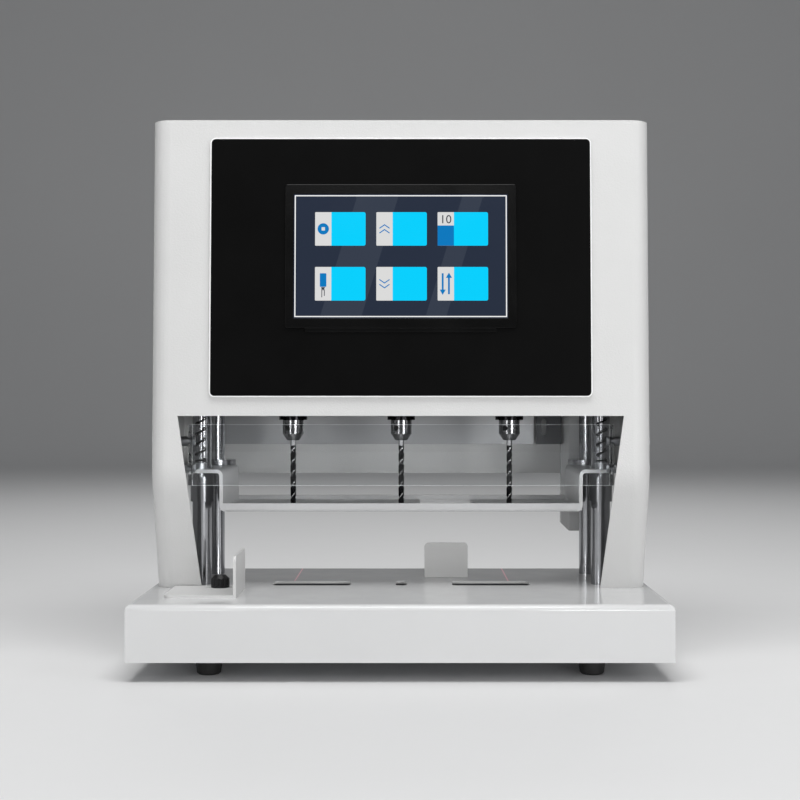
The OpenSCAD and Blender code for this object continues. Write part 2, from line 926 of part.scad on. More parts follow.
module carriage_bushes() {
  color("silver") {
    at_posts() tube(post_d + 2 * post_bush_wall, post_d + 2 * run_fit, carriage_z, carriage_top);
    at_columns() tube(column_d + 2 * bush_wall, column_d + 2 * run_fit, carriage_z, carriage_z + bush_l);
  }
}

module nut_pillar() {
  color("slategray") at_screw() tube(pillar_d, screw_d + 4, carriage_top, nut_z);
}

module lead_nut() {
  color("goldenrod") at_screw() difference() {
    union() {
      bar(pillar_d, nut_z, nut_z + nut_flange_t);
      bar(screw_d + 8, nut_z + nut_flange_t - eps, nut_z + lead_nut_h);
    }
    bar(screw_d + 2 * run_fit, nut_z - 1, nut_z + lead_nut_h + 1);
  }
}

// Drill motor at one station, seated on z
module drill_motor(x, z) {
  top = z + motor_l;
  color("silver") translate([x, drill_y, 0]) difference() {
    union() {
      bar(motor_d, z, top - motor_cap_h);
      translate([0, 0, top - motor_cap_h - eps]) cylinder(d1 = motor_d, d2 = motor_d - 6, h = motor_cap_h);
      bar(hub_d - 1, top - 1, top + 3);
      bar(hub_d, z - 4, z + eps);
    }
    bar(shaft_d + 2 * run_fit, z - 5, carriage_top + shaft_in + 4);
    for (i = [0:3]) rotate(i * 90 + 45) translate([motor_d / 2, 0, z + motor_l * 0.76])
      cube([6, 12, 5], center = true);
  }
}

// Sliding plate that carries an outer drill motor
module saddle(x) {
  color("lightslategray") translate([x, drill_y, 0]) difference() {
    translate([0, 0, carriage_top]) linear_extrude(saddle_t) round_rect(saddle_w, saddle_l, 4);
    bar(hub_d, carriage_top - 1, motor_z + 1);
    for (s = [-1, 1]) translate([0, s * (motor_d / 2 + 6), 0]) bar(5, carriage_top - 1, motor_z + 1);
  }
}

// Line laser hung in front of an outer station
module laser(x) {
  laser_d = 6.5;
  laser_h = 18;
  laser_out = 7;
  color("goldenrod") translate([x, drill_y - motor_d / 2 - laser_out, 0]) {
    bar(laser_d, motor_z, motor_z + laser_h);
    bar(laser_d - 2.5, motor_z + laser_h - eps, motor_z + laser_h + 2);
  }
}

// Clamp

// End view outline of one half of the clamp in X and Z, from the middle to the flange
module clamp_half_profile() {
  r = clamp_r;
  q = clamp_r - clamp_t;
  square([clamp_half - r, clamp_t]);
  difference() {
    translate([clamp_half - r, 0]) square([r, r]);
    translate([clamp_half - r, r]) circle(q);
    difference() {
      translate([clamp_half - r, -1]) square([r + 1, r + 1]);
      translate([clamp_half - r, r]) circle(r);
    }
  }
  translate([clamp_half - clamp_t, r]) square([clamp_t, clamp_h - 2 * r]);
  difference() {
    translate([clamp_half - clamp_t, clamp_h - r]) square([r, r]);
    translate([clamp_half - clamp_t + r, clamp_h - r]) circle(q);
    difference() {
      translate([clamp_half - clamp_t - 1, clamp_h - r]) square([r + 1, r + 1]);
      translate([clamp_half - clamp_t + r, clamp_h - r]) circle(r);
    }
  }
  translate([clamp_half - clamp_t + r, clamp_h - clamp_t])
    square([flange_x - clamp_half + clamp_t - r, clamp_t]);
}

module clamp_plate() {
  notch = back_stop_w + 7;
  color("gainsboro") difference() {
    union() {
      translate([0, clamp_back, clamp_z]) rotate([90, 0, 0]) linear_extrude(clamp_depth) {
        clamp_half_profile();
        mirror([1, 0]) clamp_half_profile();
      }
      for (y = [clamp_front, clamp_back - clamp_t])
        span([-clamp_half + 0.5, y, clamp_z + 1], [clamp_half - 0.5, y + clamp_t, clamp_z + lip_h]);
    }
    translate([0, drill_y, clamp_z - 1]) linear_extrude(clamp_t + 2) {
      circle(d = slot_w);
      slot_outline(station_min, station_max, slot_w);
      slot_outline(-station_max, -station_min, slot_w);
    }
    span([back_x - notch / 2, back_y - back_travel - 4, clamp_z - 1],
         [back_x + notch / 2, clamp_back - clamp_t - 1, clamp_z + clamp_t + 1]);
    at_posts() bar(post_d + 2 * sleeve_wall, clamp_z + lip_h + 5, flange_z + 1);
    at_columns() bar(bearing_d, clamp_z + lip_h + 5, flange_z + 1);
    at_rods() bar(rod_d, clamp_z + lip_h + 5, flange_z + 1);
  }
}

module clamp_bushes() {
  color("silver") at_posts()
    tube(post_d + 2 * sleeve_wall, post_d + 2 * run_fit, flange_z - clamp_t - sleeve_l, flange_z + 2);
}

module clamp_bearings() {
  color("dimgray") at_columns() difference() {
    union() {
      bar(bearing_flange_d, flange_z, flange_z + 4);
      bar(bearing_d, flange_z - 14, flange_z + eps);
    }
    bar(column_d + 2 * run_fit, flange_z - 20, flange_z + 8);
  }
}

module spring_rods() {
  color("silver") at_rods() {
    bar(rod_d, flange_z - clamp_t, carriage_top + eps);
    bar(rod_nut_d, carriage_top, carriage_top + rod_head_h);
    bar(rod_nut_d, flange_z - clamp_t - 3, flange_z - clamp_t + eps);
  }
}

module spring_seats() {
  color("silver") at_rods() tube(seat_d, rod_d, flange_z, flange_z + seat_h);
}

// Points and faces of one coil: rings of sides points along a helix with straight stepping
ring_sides = 6;
rings_per_curl = 8;
ring_count = curls * rings_per_curl + 1;
coil_r = (spring_d - wire_d) / 2;
coil_rise = spring_l - wire_d - 0.4;
function coil_centre(i) =
  let (a = i * 360 / rings_per_curl)
  [coil_r * cos(a), coil_r * sin(a), spring_z + 0.2 + wire_d / 2 + coil_rise * i / (ring_count - 1)];
function coil_point(i, k) =
  let (a = i * 360 / rings_per_curl, b = k * 360 / ring_sides, c = coil_centre(i), w = wire_d / 2)
  [c[0] + w * cos(b) * cos(a), c[1] + w * cos(b) * sin(a), c[2] + w * sin(b)];
coil_points = [for (i = [0:ring_count - 1], k = [0:ring_sides - 1]) coil_point(i, k)];
coil_caps = [[for (k = [0:ring_sides - 1]) k],
             [for (k = [0:ring_sides - 1]) (ring_count - 1) * ring_sides + ring_sides - 1 - k]];
coil_sides = [for (i = [0:ring_count - 2], k = [0:ring_sides - 1])
  let (n = (k + 1) % ring_sides, a = i * ring_sides, b = a + ring_sides)
  each [[a + k, b + k, b + n], [a + k, b + n, a + n]]];

// Least gap of the coil to itself, one curl apart
coil_gap = min([for (i = [0:ring_count - 1 - rings_per_curl], k = [0:ring_sides - 1], m = [0:ring_sides - 1])
  norm(coil_point(i, k) - coil_point(i + rings_per_curl, m))]);
echo(least_coil_gap = coil_gap);

module clamp_springs() {
  color([0.1, 0.1, 0.1]) at_rods() polyhedron(coil_points, concat(coil_caps, coil_sides), convexity = 10);
}

// Spindles

module chuck(x) {
  color("dimgray") translate([x, drill_y, 0]) difference() {
    union() {
      translate([0, 0, nose_z]) cylinder(d1 = chuck_d * 0.6, d2 = chuck_d, h = nose_h);
      bar(chuck_d, nose_z + nose_h - eps, rim_z + eps);
      bar(rim_d, rim_z, rim_z + rim_h);
      translate([0, 0, rim_z + rim_h - eps]) cylinder(d1 = rim_d, d2 = hub_d, h = rim_taper_h);
      bar(hub_d, rim_z + rim_h + rim_taper_h - 2 * eps, chuck_top);
      bar(shaft_d, chuck_top - eps, carriage_top + shaft_in);
    }
    bar(drill_d, nose_z - 1, nose_z + shank_in);
    for (i = [0:2]) rotate(i * 120 + key_hole_turn) translate([0, 0, nose_z + key_hole_up]) rotate([0, 90, 0])
      translate([0, 0, chuck_d / 2 - 2.5]) cylinder(d = key_hole_d, h = 5);
    for (i = [0:teeth - 1]) rotate(i * 360 / teeth) translate([rim_d / 2, 0, rim_z])
      cube([3, tooth_w, tooth_h], center = true);
  }
}

// Cross-section of the fluted part of a twist drill
module flute_section() {
  difference() {
    circle(d = drill_d, $fn = 16);
    for (s = [-1, 1]) translate([s * drill_d * 0.46, 0]) circle(d = drill_d * 0.62, $fn = 10);
  }
}

module twist_drill(x) {
  color("lightgray") translate([x, drill_y, 0]) {
    translate([0, 0, tip_z]) cylinder(d1 = 0.4, d2 = drill_d, h = point_h);
    translate([0, 0, tip_z + point_h - 0.2])
      linear_extrude(flute_l + 0.4, twist = -360 * flute_l / flute_pitch, slices = flute_slices)
        flute_section();
    bar(drill_d, tip_z + point_h + flute_l, nose_z + shank_in);
  }
}

base_pan();
bottom_plate();
rubber_feet();
foot_screws();
translate([-post_x, post_y, 0]) post();  // post_front_left
translate([post_x, post_y, 0]) post();  // post_front_right
translate([-column_x, column_y, 0]) column();  // column_rear_left
translate([column_x, column_y, 0]) column();  // column_rear_right
column_nuts();
crown_plate();
head_shell();
rear_cover();
cover_screws();
control_panel();
screen_bezel();
touch_screen();
display_housing();
control_board();
power_supply();
power_inlet();
switch_body();
power_rocker();
guard_shield();
guard_spacers();
guard_screws();
lift_motor();
screw_coupling();
lead_screw();
cutting_pads();
pad_tray();
sensor_duct();
sensor_bracket();
back_plate();
side_stop();
side_knob();
back_stop();
back_knob();
carriage_plate();
carriage_bushes();
nut_pillar();
lead_nut();
drill_motor(0, carriage_top);  // motor_centre
saddle(-drill_pitch);  // saddle_left
drill_motor(-drill_pitch, motor_z);  // motor_left
laser(-drill_pitch);  // laser_left
saddle(drill_pitch);  // saddle_right
drill_motor(drill_pitch, motor_z);  // motor_right
laser(drill_pitch);  // laser_right
clamp_plate();
clamp_bushes();
clamp_bearings();
spring_rods();
spring_seats();
clamp_springs();
chuck(-drill_pitch);  // chuck_left
twist_drill(-drill_pitch);  // drill_left
chuck(0);  // chuck_centre
twist_drill(0);  // drill_centre
chuck(drill_pitch);  // chuck_right
twist_drill(drill_pitch);  // drill_right
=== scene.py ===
# %% [markdown]
# # A desktop paper drill
# The machine stands on four rubber feet. A steel base pan carries a white sheet-metal head on two legs, and
# inside it three drills come down together through a sprung clamp. The solids come from the part's own
# drawing, so this lesson keeps their shapes, softens their edges, and gives every surface the finish of the
# real thing.

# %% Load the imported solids
import json
import math

import bmesh
import bpy
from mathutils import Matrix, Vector

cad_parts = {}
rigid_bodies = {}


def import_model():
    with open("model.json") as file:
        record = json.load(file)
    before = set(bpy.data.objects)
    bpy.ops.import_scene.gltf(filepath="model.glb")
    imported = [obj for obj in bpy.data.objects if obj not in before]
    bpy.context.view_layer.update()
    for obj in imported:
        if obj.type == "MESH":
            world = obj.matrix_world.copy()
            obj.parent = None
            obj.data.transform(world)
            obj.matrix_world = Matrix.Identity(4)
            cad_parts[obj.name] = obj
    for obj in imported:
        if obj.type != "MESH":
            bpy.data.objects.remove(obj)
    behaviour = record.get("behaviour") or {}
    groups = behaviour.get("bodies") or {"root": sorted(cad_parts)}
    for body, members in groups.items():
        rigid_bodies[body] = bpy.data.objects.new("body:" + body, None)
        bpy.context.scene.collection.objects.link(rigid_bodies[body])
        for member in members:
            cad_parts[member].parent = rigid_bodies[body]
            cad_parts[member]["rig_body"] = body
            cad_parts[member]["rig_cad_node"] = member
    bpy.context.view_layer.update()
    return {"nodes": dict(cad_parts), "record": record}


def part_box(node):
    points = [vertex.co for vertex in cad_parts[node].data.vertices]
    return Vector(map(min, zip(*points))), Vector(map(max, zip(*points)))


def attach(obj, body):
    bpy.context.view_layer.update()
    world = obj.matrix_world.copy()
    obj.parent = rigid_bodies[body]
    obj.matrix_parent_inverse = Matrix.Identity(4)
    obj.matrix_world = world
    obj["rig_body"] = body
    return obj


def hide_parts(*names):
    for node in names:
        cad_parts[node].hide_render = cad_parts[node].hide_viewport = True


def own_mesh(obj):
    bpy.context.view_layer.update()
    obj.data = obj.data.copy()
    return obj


for leftover in list(bpy.data.objects):
    bpy.data.objects.remove(leftover)
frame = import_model()
nodes = frame["nodes"]
MM = 0.001
NEAR = 0.001 * MM
FACING = 0.9

# %% [markdown]
# ## Camera
# The photograph looks straight at the front from about a metre away, level with the drills' chucks, and
# from 8 mm right of the middle. A level camera keeps the upright edges upright, and a small sideways shift
# of the lens puts the base in the middle of the picture. The lens is the one that gives the same widening
# of the base.

# %% Camera
CAMERA_DISTANCE = 1.006
CAMERA_HEIGHT = 0.1877
CAMERA_LENS = 61.56
CAMERA_ASIDE = 0.008
SENSOR_WIDTH = 36
BASE_FRONT = 0.1
camera_data = bpy.data.cameras.new("front_camera")
camera_data.lens = CAMERA_LENS
camera_data.sensor_width = SENSOR_WIDTH
camera_data.shift_x = -CAMERA_ASIDE / (CAMERA_DISTANCE - BASE_FRONT) * CAMERA_LENS / SENSOR_WIDTH
camera_data.clip_start = 0.01
camera = bpy.data.objects.new("front_camera", camera_data)
camera.location = (CAMERA_ASIDE, -CAMERA_DISTANCE, CAMERA_HEIGHT)
camera.rotation_euler = (math.radians(90), 0, 0)
bpy.context.scene.collection.objects.link(camera)
bpy.context.scene.camera = camera
print("camera", tuple(round(x, 3) for x in camera.location))

# %% [markdown]
# ## Small helpers
# An operator works on whatever is selected and active, so each step starts by clearing the selection. A
# finished piece has its place in its mesh and its object at the origin, as the solids do, so that patterns
# stay where they are.

# %% Helpers for modelling
def only(obj):
    """Select one object alone and make it the active one."""
    for other in bpy.context.selected_objects:
        other.select_set(False)
    obj.select_set(True)
    bpy.context.view_layer.objects.active = obj


def settle(obj):
    """Put an object's place, turn and scale into its mesh."""
    only(obj)
    bpy.ops.object.transform_apply(location=True, rotation=True, scale=True)


def lean_on(piece, centre, lean):
    """Turn a flat upright piece to a leaning face and put it there."""
    piece.location = centre
    piece.rotation_euler = (-lean, 0, 0)
    settle(piece)
    return piece


def apply_modifier(obj, kind, **values):
    """Add a modifier, set it and apply it."""
    only(obj)
    modifier = obj.modifiers.new(kind.lower(), kind)
    for key, value in values.items():
        setattr(modifier, key, value)
    bpy.ops.object.modifier_apply(modifier=modifier.name)


def round_edges(obj, width, segments, degrees):
    """Bevel every edge that is sharper than an angle."""
    apply_modifier(obj, "BEVEL", width=width, segments=segments, limit_method="ANGLE",
                   angle_limit=math.radians(degrees))


def edit_all(obj):
    """Go into edit mode with the whole mesh selected."""
    only(obj)
    bpy.ops.object.mode_set(mode="EDIT")
    bpy.ops.mesh.select_all(action="SELECT")


def object_mode():
    bpy.ops.object.mode_set(mode="OBJECT")


def select_faces(obj, test):
    """In edit mode, leave only the faces selected that pass a test on their centre and normal."""
    only(obj)
    bpy.ops.object.mode_set(mode="EDIT")
    bpy.ops.mesh.select_mode(type="FACE")
    bpy.ops.mesh.select_all(action="DESELECT")
    object_mode()
    for face in obj.data.polygons:
        face.select = test(face.center, face.normal)
    bpy.ops.object.mode_set(mode="EDIT")


def select_edges(obj, test):
    """In edit mode, leave only the edges selected that pass a test on their middle and bend in degrees."""
    only(obj)
    bpy.ops.object.mode_set(mode="EDIT")
    bpy.ops.mesh.select_mode(type="EDGE")
    bpy.ops.mesh.select_all(action="DESELECT")
    mesh = bmesh.from_edit_mesh(obj.data)
    count = 0
    for edge in mesh.edges:
        middle = (edge.verts[0].co + edge.verts[1].co) / 2
        if test(middle, math.degrees(edge.calc_face_angle(0))):
            edge.select_set(True)
            count += 1
    bmesh.update_edit_mesh(obj.data)
    return count


def join(name, parts):
    """Join several meshes into one named piece."""
    only(parts[0])
    for part in parts[1:]:
        part.select_set(True)
    if len(parts) > 1:
        bpy.ops.object.join()
    piece = bpy.context.view_layer.objects.active
    piece.name = name
    piece.data.name = name
    return piece


def duplicate(source, name):
    """Copy an object together with its mesh."""
    piece = source.copy()
    piece.data = source.data.copy()
    piece.name = name
    piece.data.name = name
    bpy.context.scene.collection.objects.link(piece)
    return piece


def dress(piece, body, material):
    """Give a piece its finish and the body that it moves with."""
    piece.data.materials.clear()
    piece.data.materials.append(material)
    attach(piece, body)
    print(piece.name, "faces", len(piece.data.polygons), "rides", body)


def face_of(node):
    """Centre, lean, width and height of the front face of a leaning flat node."""
    solid = nodes[node].data
    fronts = [face for face in solid.polygons if face.normal.y < -FACING]
    points = [solid.vertices[i].co for face in fronts for i in face.vertices]
    low = Vector([min(point[axis] for point in points) for axis in range(3)])
    high = Vector([max(point[axis] for point in points) for axis in range(3)])
    lean = math.atan2(fronts[0].normal.z, -fronts[0].normal.y)
    return (low + high) / 2, lean, high.x - low.x, (high.z - low.z) / math.cos(lean)


# %% [markdown]
# ## Shared effects
# Real finishes are never one flat value. Five effects come back in many materials, so each is a node group:
# the dimples of sprayed powder, the fine rings that a lathe leaves, the straight lines of grinding, the
# even grain of a casting, and the uneven gloss of a surface that hands have touched. Each puts out a
# height, a slow tone or a roughness, and every material sets its own scale.

# %% Node groups
SLOW_STRETCH = (0.02, 0.02, 0.02)
CLOUD_SPAN = (0.35, 0.65)


def add_node(tree, kind, settings=None, **inputs):
    node = tree.nodes.new(kind)
    for key, value in (settings or {}).items():
        setattr(node, key, value)
    for key, value in inputs.items():
        node.inputs[key.replace("_", " ")].default_value = value
    return node


def new_group(name, inputs, outputs):
    group = bpy.data.node_groups.new(name, "ShaderNodeTree")
    for label, value in inputs.items():
        socket = group.interface.new_socket(label, in_out="INPUT", socket_type="NodeSocketFloat")
        socket.default_value = value
    for label in outputs:
        group.interface.new_socket(label, in_out="OUTPUT", socket_type="NodeSocketFloat")
    return group, group.nodes.new("NodeGroupInput"), group.nodes.new("NodeGroupOutput")


def stretched_noise(group, source, stretch, detail):
    """Noise whose grain is pulled along one axis, read at object coordinates."""
    place = group.nodes.new("ShaderNodeTexCoord")
    mapping = add_node(group, "ShaderNodeMapping", Scale=stretch)
    noise = add_node(group, "ShaderNodeTexNoise", Detail=detail, Roughness=0.6)
    group.links.new(place.outputs["Object"], mapping.inputs["Vector"])
    group.links.new(mapping.outputs["Vector"], noise.inputs["Vector"])
    group.links.new(source.outputs["Scale"], noise.inputs["Scale"])
    return noise.outputs["Fac"]


def relief_group(name, stretch, detail):
    """A group with one height and one slow tone, for lines or grain that run one way."""
    group, source, out = new_group(name, {"Scale": 400.0}, ("Height", "Tone"))
    group.links.new(stretched_noise(group, source, stretch, detail), out.inputs["Height"])
    group.links.new(stretched_noise(group, source, SLOW_STRETCH, 2.0), out.inputs["Tone"])
    return group


def peel_group():
    """Powder coat: soft round dimples with finer grain between them."""
    group, source, out = new_group("powder_peel", {"Scale": 700.0}, ("Height", "Tone"))
    links = group.links
    place = group.nodes.new("ShaderNodeTexCoord")
    cells = add_node(group, "ShaderNodeTexVoronoi", {"feature": "SMOOTH_F1"}, Smoothness=0.9)
    links.new(place.outputs["Object"], cells.inputs["Vector"])
    links.new(source.outputs["Scale"], cells.inputs["Scale"])
    total = add_node(group, "ShaderNodeMath", {"operation": "ADD"})
    links.new(cells.outputs["Distance"], total.inputs[0])
    links.new(stretched_noise(group, source, (1.7, 1.7, 1.7), 3.0), total.inputs[1])
    links.new(total.outputs["Value"], out.inputs["Height"])
    links.new(stretched_noise(group, source, SLOW_STRETCH, 2.0), out.inputs["Tone"])
    return group


def gloss_group():
    """Uneven gloss: clouds of touch marks between a low and a high roughness."""
    group, source, out = new_group("touched_gloss", {"Scale": 30.0, "Low": 0.3, "High": 0.4}, ("Roughness",))
    span = add_node(group, "ShaderNodeMapRange", From_Min=CLOUD_SPAN[0], From_Max=CLOUD_SPAN[1])
    group.links.new(stretched_noise(group, source, (1.0, 1.0, 1.0), 4.0), span.inputs["Value"])
    group.links.new(source.outputs["Low"], span.inputs["To Min"])
    group.links.new(source.outputs["High"], span.inputs["To Max"])
    group.links.new(span.outputs["Result"], out.inputs["Roughness"])
    return group


POWDER_PEEL = peel_group()
TURNED_RINGS = relief_group("turned_rings", (0.05, 0.05, 6.0), 2.0)
GROUND_LINES = relief_group("ground_lines", (0.05, 3.0, 3.0), 3.0)
CAST_GRAIN = relief_group("cast_grain", (1.0, 1.0, 1.0), 4.0)
TOUCHED_GLOSS = gloss_group()
print("shared effects:", len(bpy.data.node_groups))

# %% [markdown]
# ## Finishes
# A finish is one material: a colour that drifts a little over the surface, a gloss that is uneven, and a
# fine relief that catches the light. Paint, ground steel, turned steel, brass, rubber and plastic differ
# only in those values, so one function makes them all. Glass, the lit screen and the two-coloured chuck
# follow on their own.

# %% Finish maker
TONE_SPAN = (0.3, 0.7)
BUMP_STRENGTH = 0.6
TOUCH_SCALE = 30.0
# black oxide for the chuck rim and the drills, and painted shade in the chuck's key holes
BLACKENED_AND_SHADE = (0.012, 0.012, 0.013, 1)


def new_material(name):
    """A new material, its node tree and its shader."""
    material = bpy.data.materials.new(name)
    material.use_nodes = True
    return material, material.node_tree, material.node_tree.nodes["Principled BSDF"]


def group_node(tree, group, **inputs):
    node = tree.nodes.new("ShaderNodeGroup")
    node.node_tree = group
    for key, value in inputs.items():
        node.inputs[key].default_value = value
    return node


def math_node(tree, operation, first, second=None):
    """A Math node fed by a socket or a number in each place."""
    node = add_node(tree, "ShaderNodeMath", {"operation": operation})
    for index, value in enumerate((first, second)):
        if isinstance(value, (int, float)):
            node.inputs[index].default_value = value
        elif value is not None:
            tree.links.new(value, node.inputs[index])
    return node.outputs["Value"]


def object_axes(tree):
    """The x, y and z sockets of the object's own coordinates."""
    place = tree.nodes.new("ShaderNodeTexCoord")
    axes = tree.nodes.new("ShaderNodeSeparateXYZ")
    tree.links.new(place.outputs["Object"], axes.inputs["Vector"])
    return [axes.outputs[axis] for axis in "XYZ"]


def mask_colour(tree, mask, target, colour):
    """Turn what feeds a colour socket into another colour where the mask is one."""
    mix = add_node(tree, "ShaderNodeMix", {"data_type": "RGBA"})
    if target.is_linked:
        tree.links.new(target.links[0].from_socket, mix.inputs["A"])
    else:
        mix.inputs["A"].default_value = (0, 0, 0, 1)
    mix.inputs["B"].default_value = colour
    tree.links.new(mask, mix.inputs["Factor"])
    tree.links.new(mix.outputs["Result"], target)


def add_gloss(tree, shader, scale, low, high):
    gloss = group_node(tree, TOUCHED_GLOSS, Scale=scale, Low=low, High=high)
    tree.links.new(gloss.outputs["Roughness"], shader.inputs["Roughness"])


def tint(colour, factor):
    return tuple(min(1.0, channel * factor) for channel in colour[:3]) + (1.0,)


def make_finish(name, colour, relief, scale, depth_mm, rough, metallic=0.0, drift=0.05, sheen=0.5):
    material, tree, shader = new_material(name)
    shader.inputs["Metallic"].default_value = metallic
    shader.inputs["Specular IOR Level"].default_value = sheen
    surface = group_node(tree, relief, Scale=scale)
    ramp = add_node(tree, "ShaderNodeValToRGB")
    for stop, position, factor in zip(ramp.color_ramp.elements, TONE_SPAN, (1.0 - drift, 1.0 + drift)):
        stop.position = position
        stop.color = tint(colour, factor)
    add_gloss(tree, shader, TOUCH_SCALE, rough[0], rough[1])
    bump = add_node(tree, "ShaderNodeBump", Strength=BUMP_STRENGTH, Distance=depth_mm * MM)
    tree.links.new(surface.outputs["Tone"], ramp.inputs["Fac"])
    tree.links.new(ramp.outputs["Color"], shader.inputs["Base Color"])
    tree.links.new(surface.outputs["Height"], bump.inputs["Height"])
    tree.links.new(bump.outputs["Normal"], shader.inputs["Normal"])
    return material


# %% Finishes by the record's slots
finishes = {
    "white_paint": make_finish("white_powder_coat", (0.62, 0.62, 0.615), POWDER_PEEL, 900, 0.12, (0.36, 0.44),
                               drift=0.012),
    "base_paint": make_finish("pale_gloss_paint", (0.64, 0.643, 0.645), POWDER_PEEL, 500, 0.012, (0.13, 0.19),
                              drift=0.012),
    "dark_paint": make_finish("dark_grey_paint", (0.09, 0.093, 0.1), POWDER_PEEL, 900, 0.1, (0.4, 0.5)),
    "plate_steel": make_finish("ground_plate", (0.4, 0.403, 0.41), GROUND_LINES, 500, 0.02, (0.34, 0.46),
                               metallic=1.0, drift=0.08),
    "ground_steel": make_finish("polished_shaft", (0.34, 0.345, 0.36), TURNED_RINGS, 900, 0.004, (0.13, 0.2),
                                metallic=1.0, drift=0.04),
    "zinc_screw": make_finish("zinc_plate", (0.45, 0.46, 0.48), CAST_GRAIN, 900, 0.01, (0.28, 0.4),
                              metallic=1.0, drift=0.06),
    "black_steel": make_finish("black_oxide", (0.02, 0.02, 0.022), CAST_GRAIN, 900, 0.01, (0.3, 0.42),
                               metallic=0.6, drift=0.2),
    "drill_steel": make_finish("bright_drill_steel", (0.5, 0.5, 0.51), TURNED_RINGS, 700, 0.006, (0.2, 0.3),
                               metallic=1.0, drift=0.1),
    "motor_can": make_finish("motor_can", (0.5, 0.51, 0.53), TURNED_RINGS, 500, 0.01, (0.3, 0.4),
                             metallic=1.0, drift=0.05),
    "brass": make_finish("turned_brass", (0.68, 0.48, 0.2), TURNED_RINGS, 800, 0.008, (0.22, 0.32),
                         metallic=1.0, drift=0.06),
    "black_plastic": make_finish("satin_black", (0.0022, 0.0022, 0.0022), CAST_GRAIN, 1500, 0.03, (0.42, 0.5),
                                 drift=0.1, sheen=0.05),
    "black_gloss": make_finish("gloss_black", (0.003, 0.003, 0.003), CAST_GRAIN, 300, 0.003, (0.16, 0.24),
                               drift=0.1, sheen=0.15),
    "board": make_finish("board_green", (0.02, 0.13, 0.05), CAST_GRAIN, 500, 0.03, (0.35, 0.5), drift=0.15),
    "nylon": make_finish("white_nylon", (0.78, 0.78, 0.74), CAST_GRAIN, 500, 0.03, (0.4, 0.55), drift=0.03),
    "rubber": make_finish("black_rubber", (0.018, 0.018, 0.018), CAST_GRAIN, 1200, 0.08, (0.6, 0.75),
                          drift=0.2),
}
print("finishes:", len(finishes))

# %% [markdown]
# ## Guide lines on the table
# Two small lasers behind the outer drills draw a faint pink line on the table, from its rear edge to the
# slots. The line is light on the paint, so it is emission in the table's finish, kept to a narrow strip of
# the top face.

# %% Laser lines
LINE_X = 0.08
LINE_HALF = 0.0007
LINE_FRONT_Y = 0.0135
LINE_DEPTH = 0.1 * MM
LINE_PINK = (0.75, 0.16, 0.26, 1)
LINE_GLOW = 0.45
table_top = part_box("base_pan")[1].z


def add_guide_lines(material):
    tree = material.node_tree
    shader = tree.nodes["Principled BSDF"]
    x, y, z = object_axes(tree)
    from_line = math_node(tree, "SUBTRACT", math_node(tree, "ABSOLUTE", x), LINE_X)
    share = math_node(tree, "DIVIDE", math_node(tree, "ABSOLUTE", from_line), LINE_HALF)
    strip = math_node(tree, "SUBTRACT", 1.0, math_node(tree, "MINIMUM", share, 1.0))
    behind = math_node(tree, "GREATER_THAN", y, LINE_FRONT_Y)
    top = math_node(tree, "GREATER_THAN", z, table_top - LINE_DEPTH)
    mask = math_node(tree, "MULTIPLY", strip, math_node(tree, "MULTIPLY", behind, top))
    mask_colour(tree, mask, shader.inputs["Emission Color"], LINE_PINK)
    shader.inputs["Emission Strength"].default_value = LINE_GLOW


add_guide_lines(finishes["base_paint"])

# %% [markdown]
# ## The clear guard
# A bent acrylic sheet stands in front of the springs and chucks. Acrylic bends light a little less than
# glass, and its sawn edges look bright. A solid sheet with transmission shows both, so the drawing's own
# sheet is kept. Lamps shine through it onto what stands behind, so shadow rays see a plain transparent
# surface in place of the refracting one.

# %% Acrylic
ACRYLIC_IOR = 1.49
ACRYLIC_TINT = (0.97, 0.98, 0.985, 1)
ACRYLIC_SHADE = (0.93, 0.94, 0.945, 1)


def make_acrylic():
    material, tree, shader = new_material("clear_acrylic")
    shader.inputs["Base Color"].default_value = ACRYLIC_TINT
    shader.inputs["Transmission Weight"].default_value = 1.0
    shader.inputs["IOR"].default_value = ACRYLIC_IOR
    add_gloss(tree, shader, 25.0, 0.0, 0.03)
    clear = add_node(tree, "ShaderNodeBsdfTransparent", Color=ACRYLIC_SHADE)
    rays = tree.nodes.new("ShaderNodeLightPath")
    mix = tree.nodes.new("ShaderNodeMixShader")
    tree.links.new(rays.outputs["Is Shadow Ray"], mix.inputs["Fac"])
    tree.links.new(shader.outputs["BSDF"], mix.inputs[1])
    tree.links.new(clear.outputs["BSDF"], mix.inputs[2])
    tree.links.new(mix.outputs["Shader"], tree.nodes["Material Output"].inputs["Surface"])
    return material


finishes["clear_acrylic"] = make_acrylic()

# %% [markdown]
# ## The keyed chuck
# A chuck has a blackened toothed rim above a bright ground nose, and holes for the key, whose insides get
# painted shade. All belong to one solid, so the material changes with height and with the distance from the
# chuck's axis. The three axes stand one pitch apart, so the distance is taken to the nearest of them.

# %% Chuck steel
CHUCK_RIM_Z = 0.1728
CHUCK_HOLES_Z = 0.164
CHUCK_SKIN_R = 0.0074
DRILL_PITCH = 0.08
DRILL_Y = 0.008


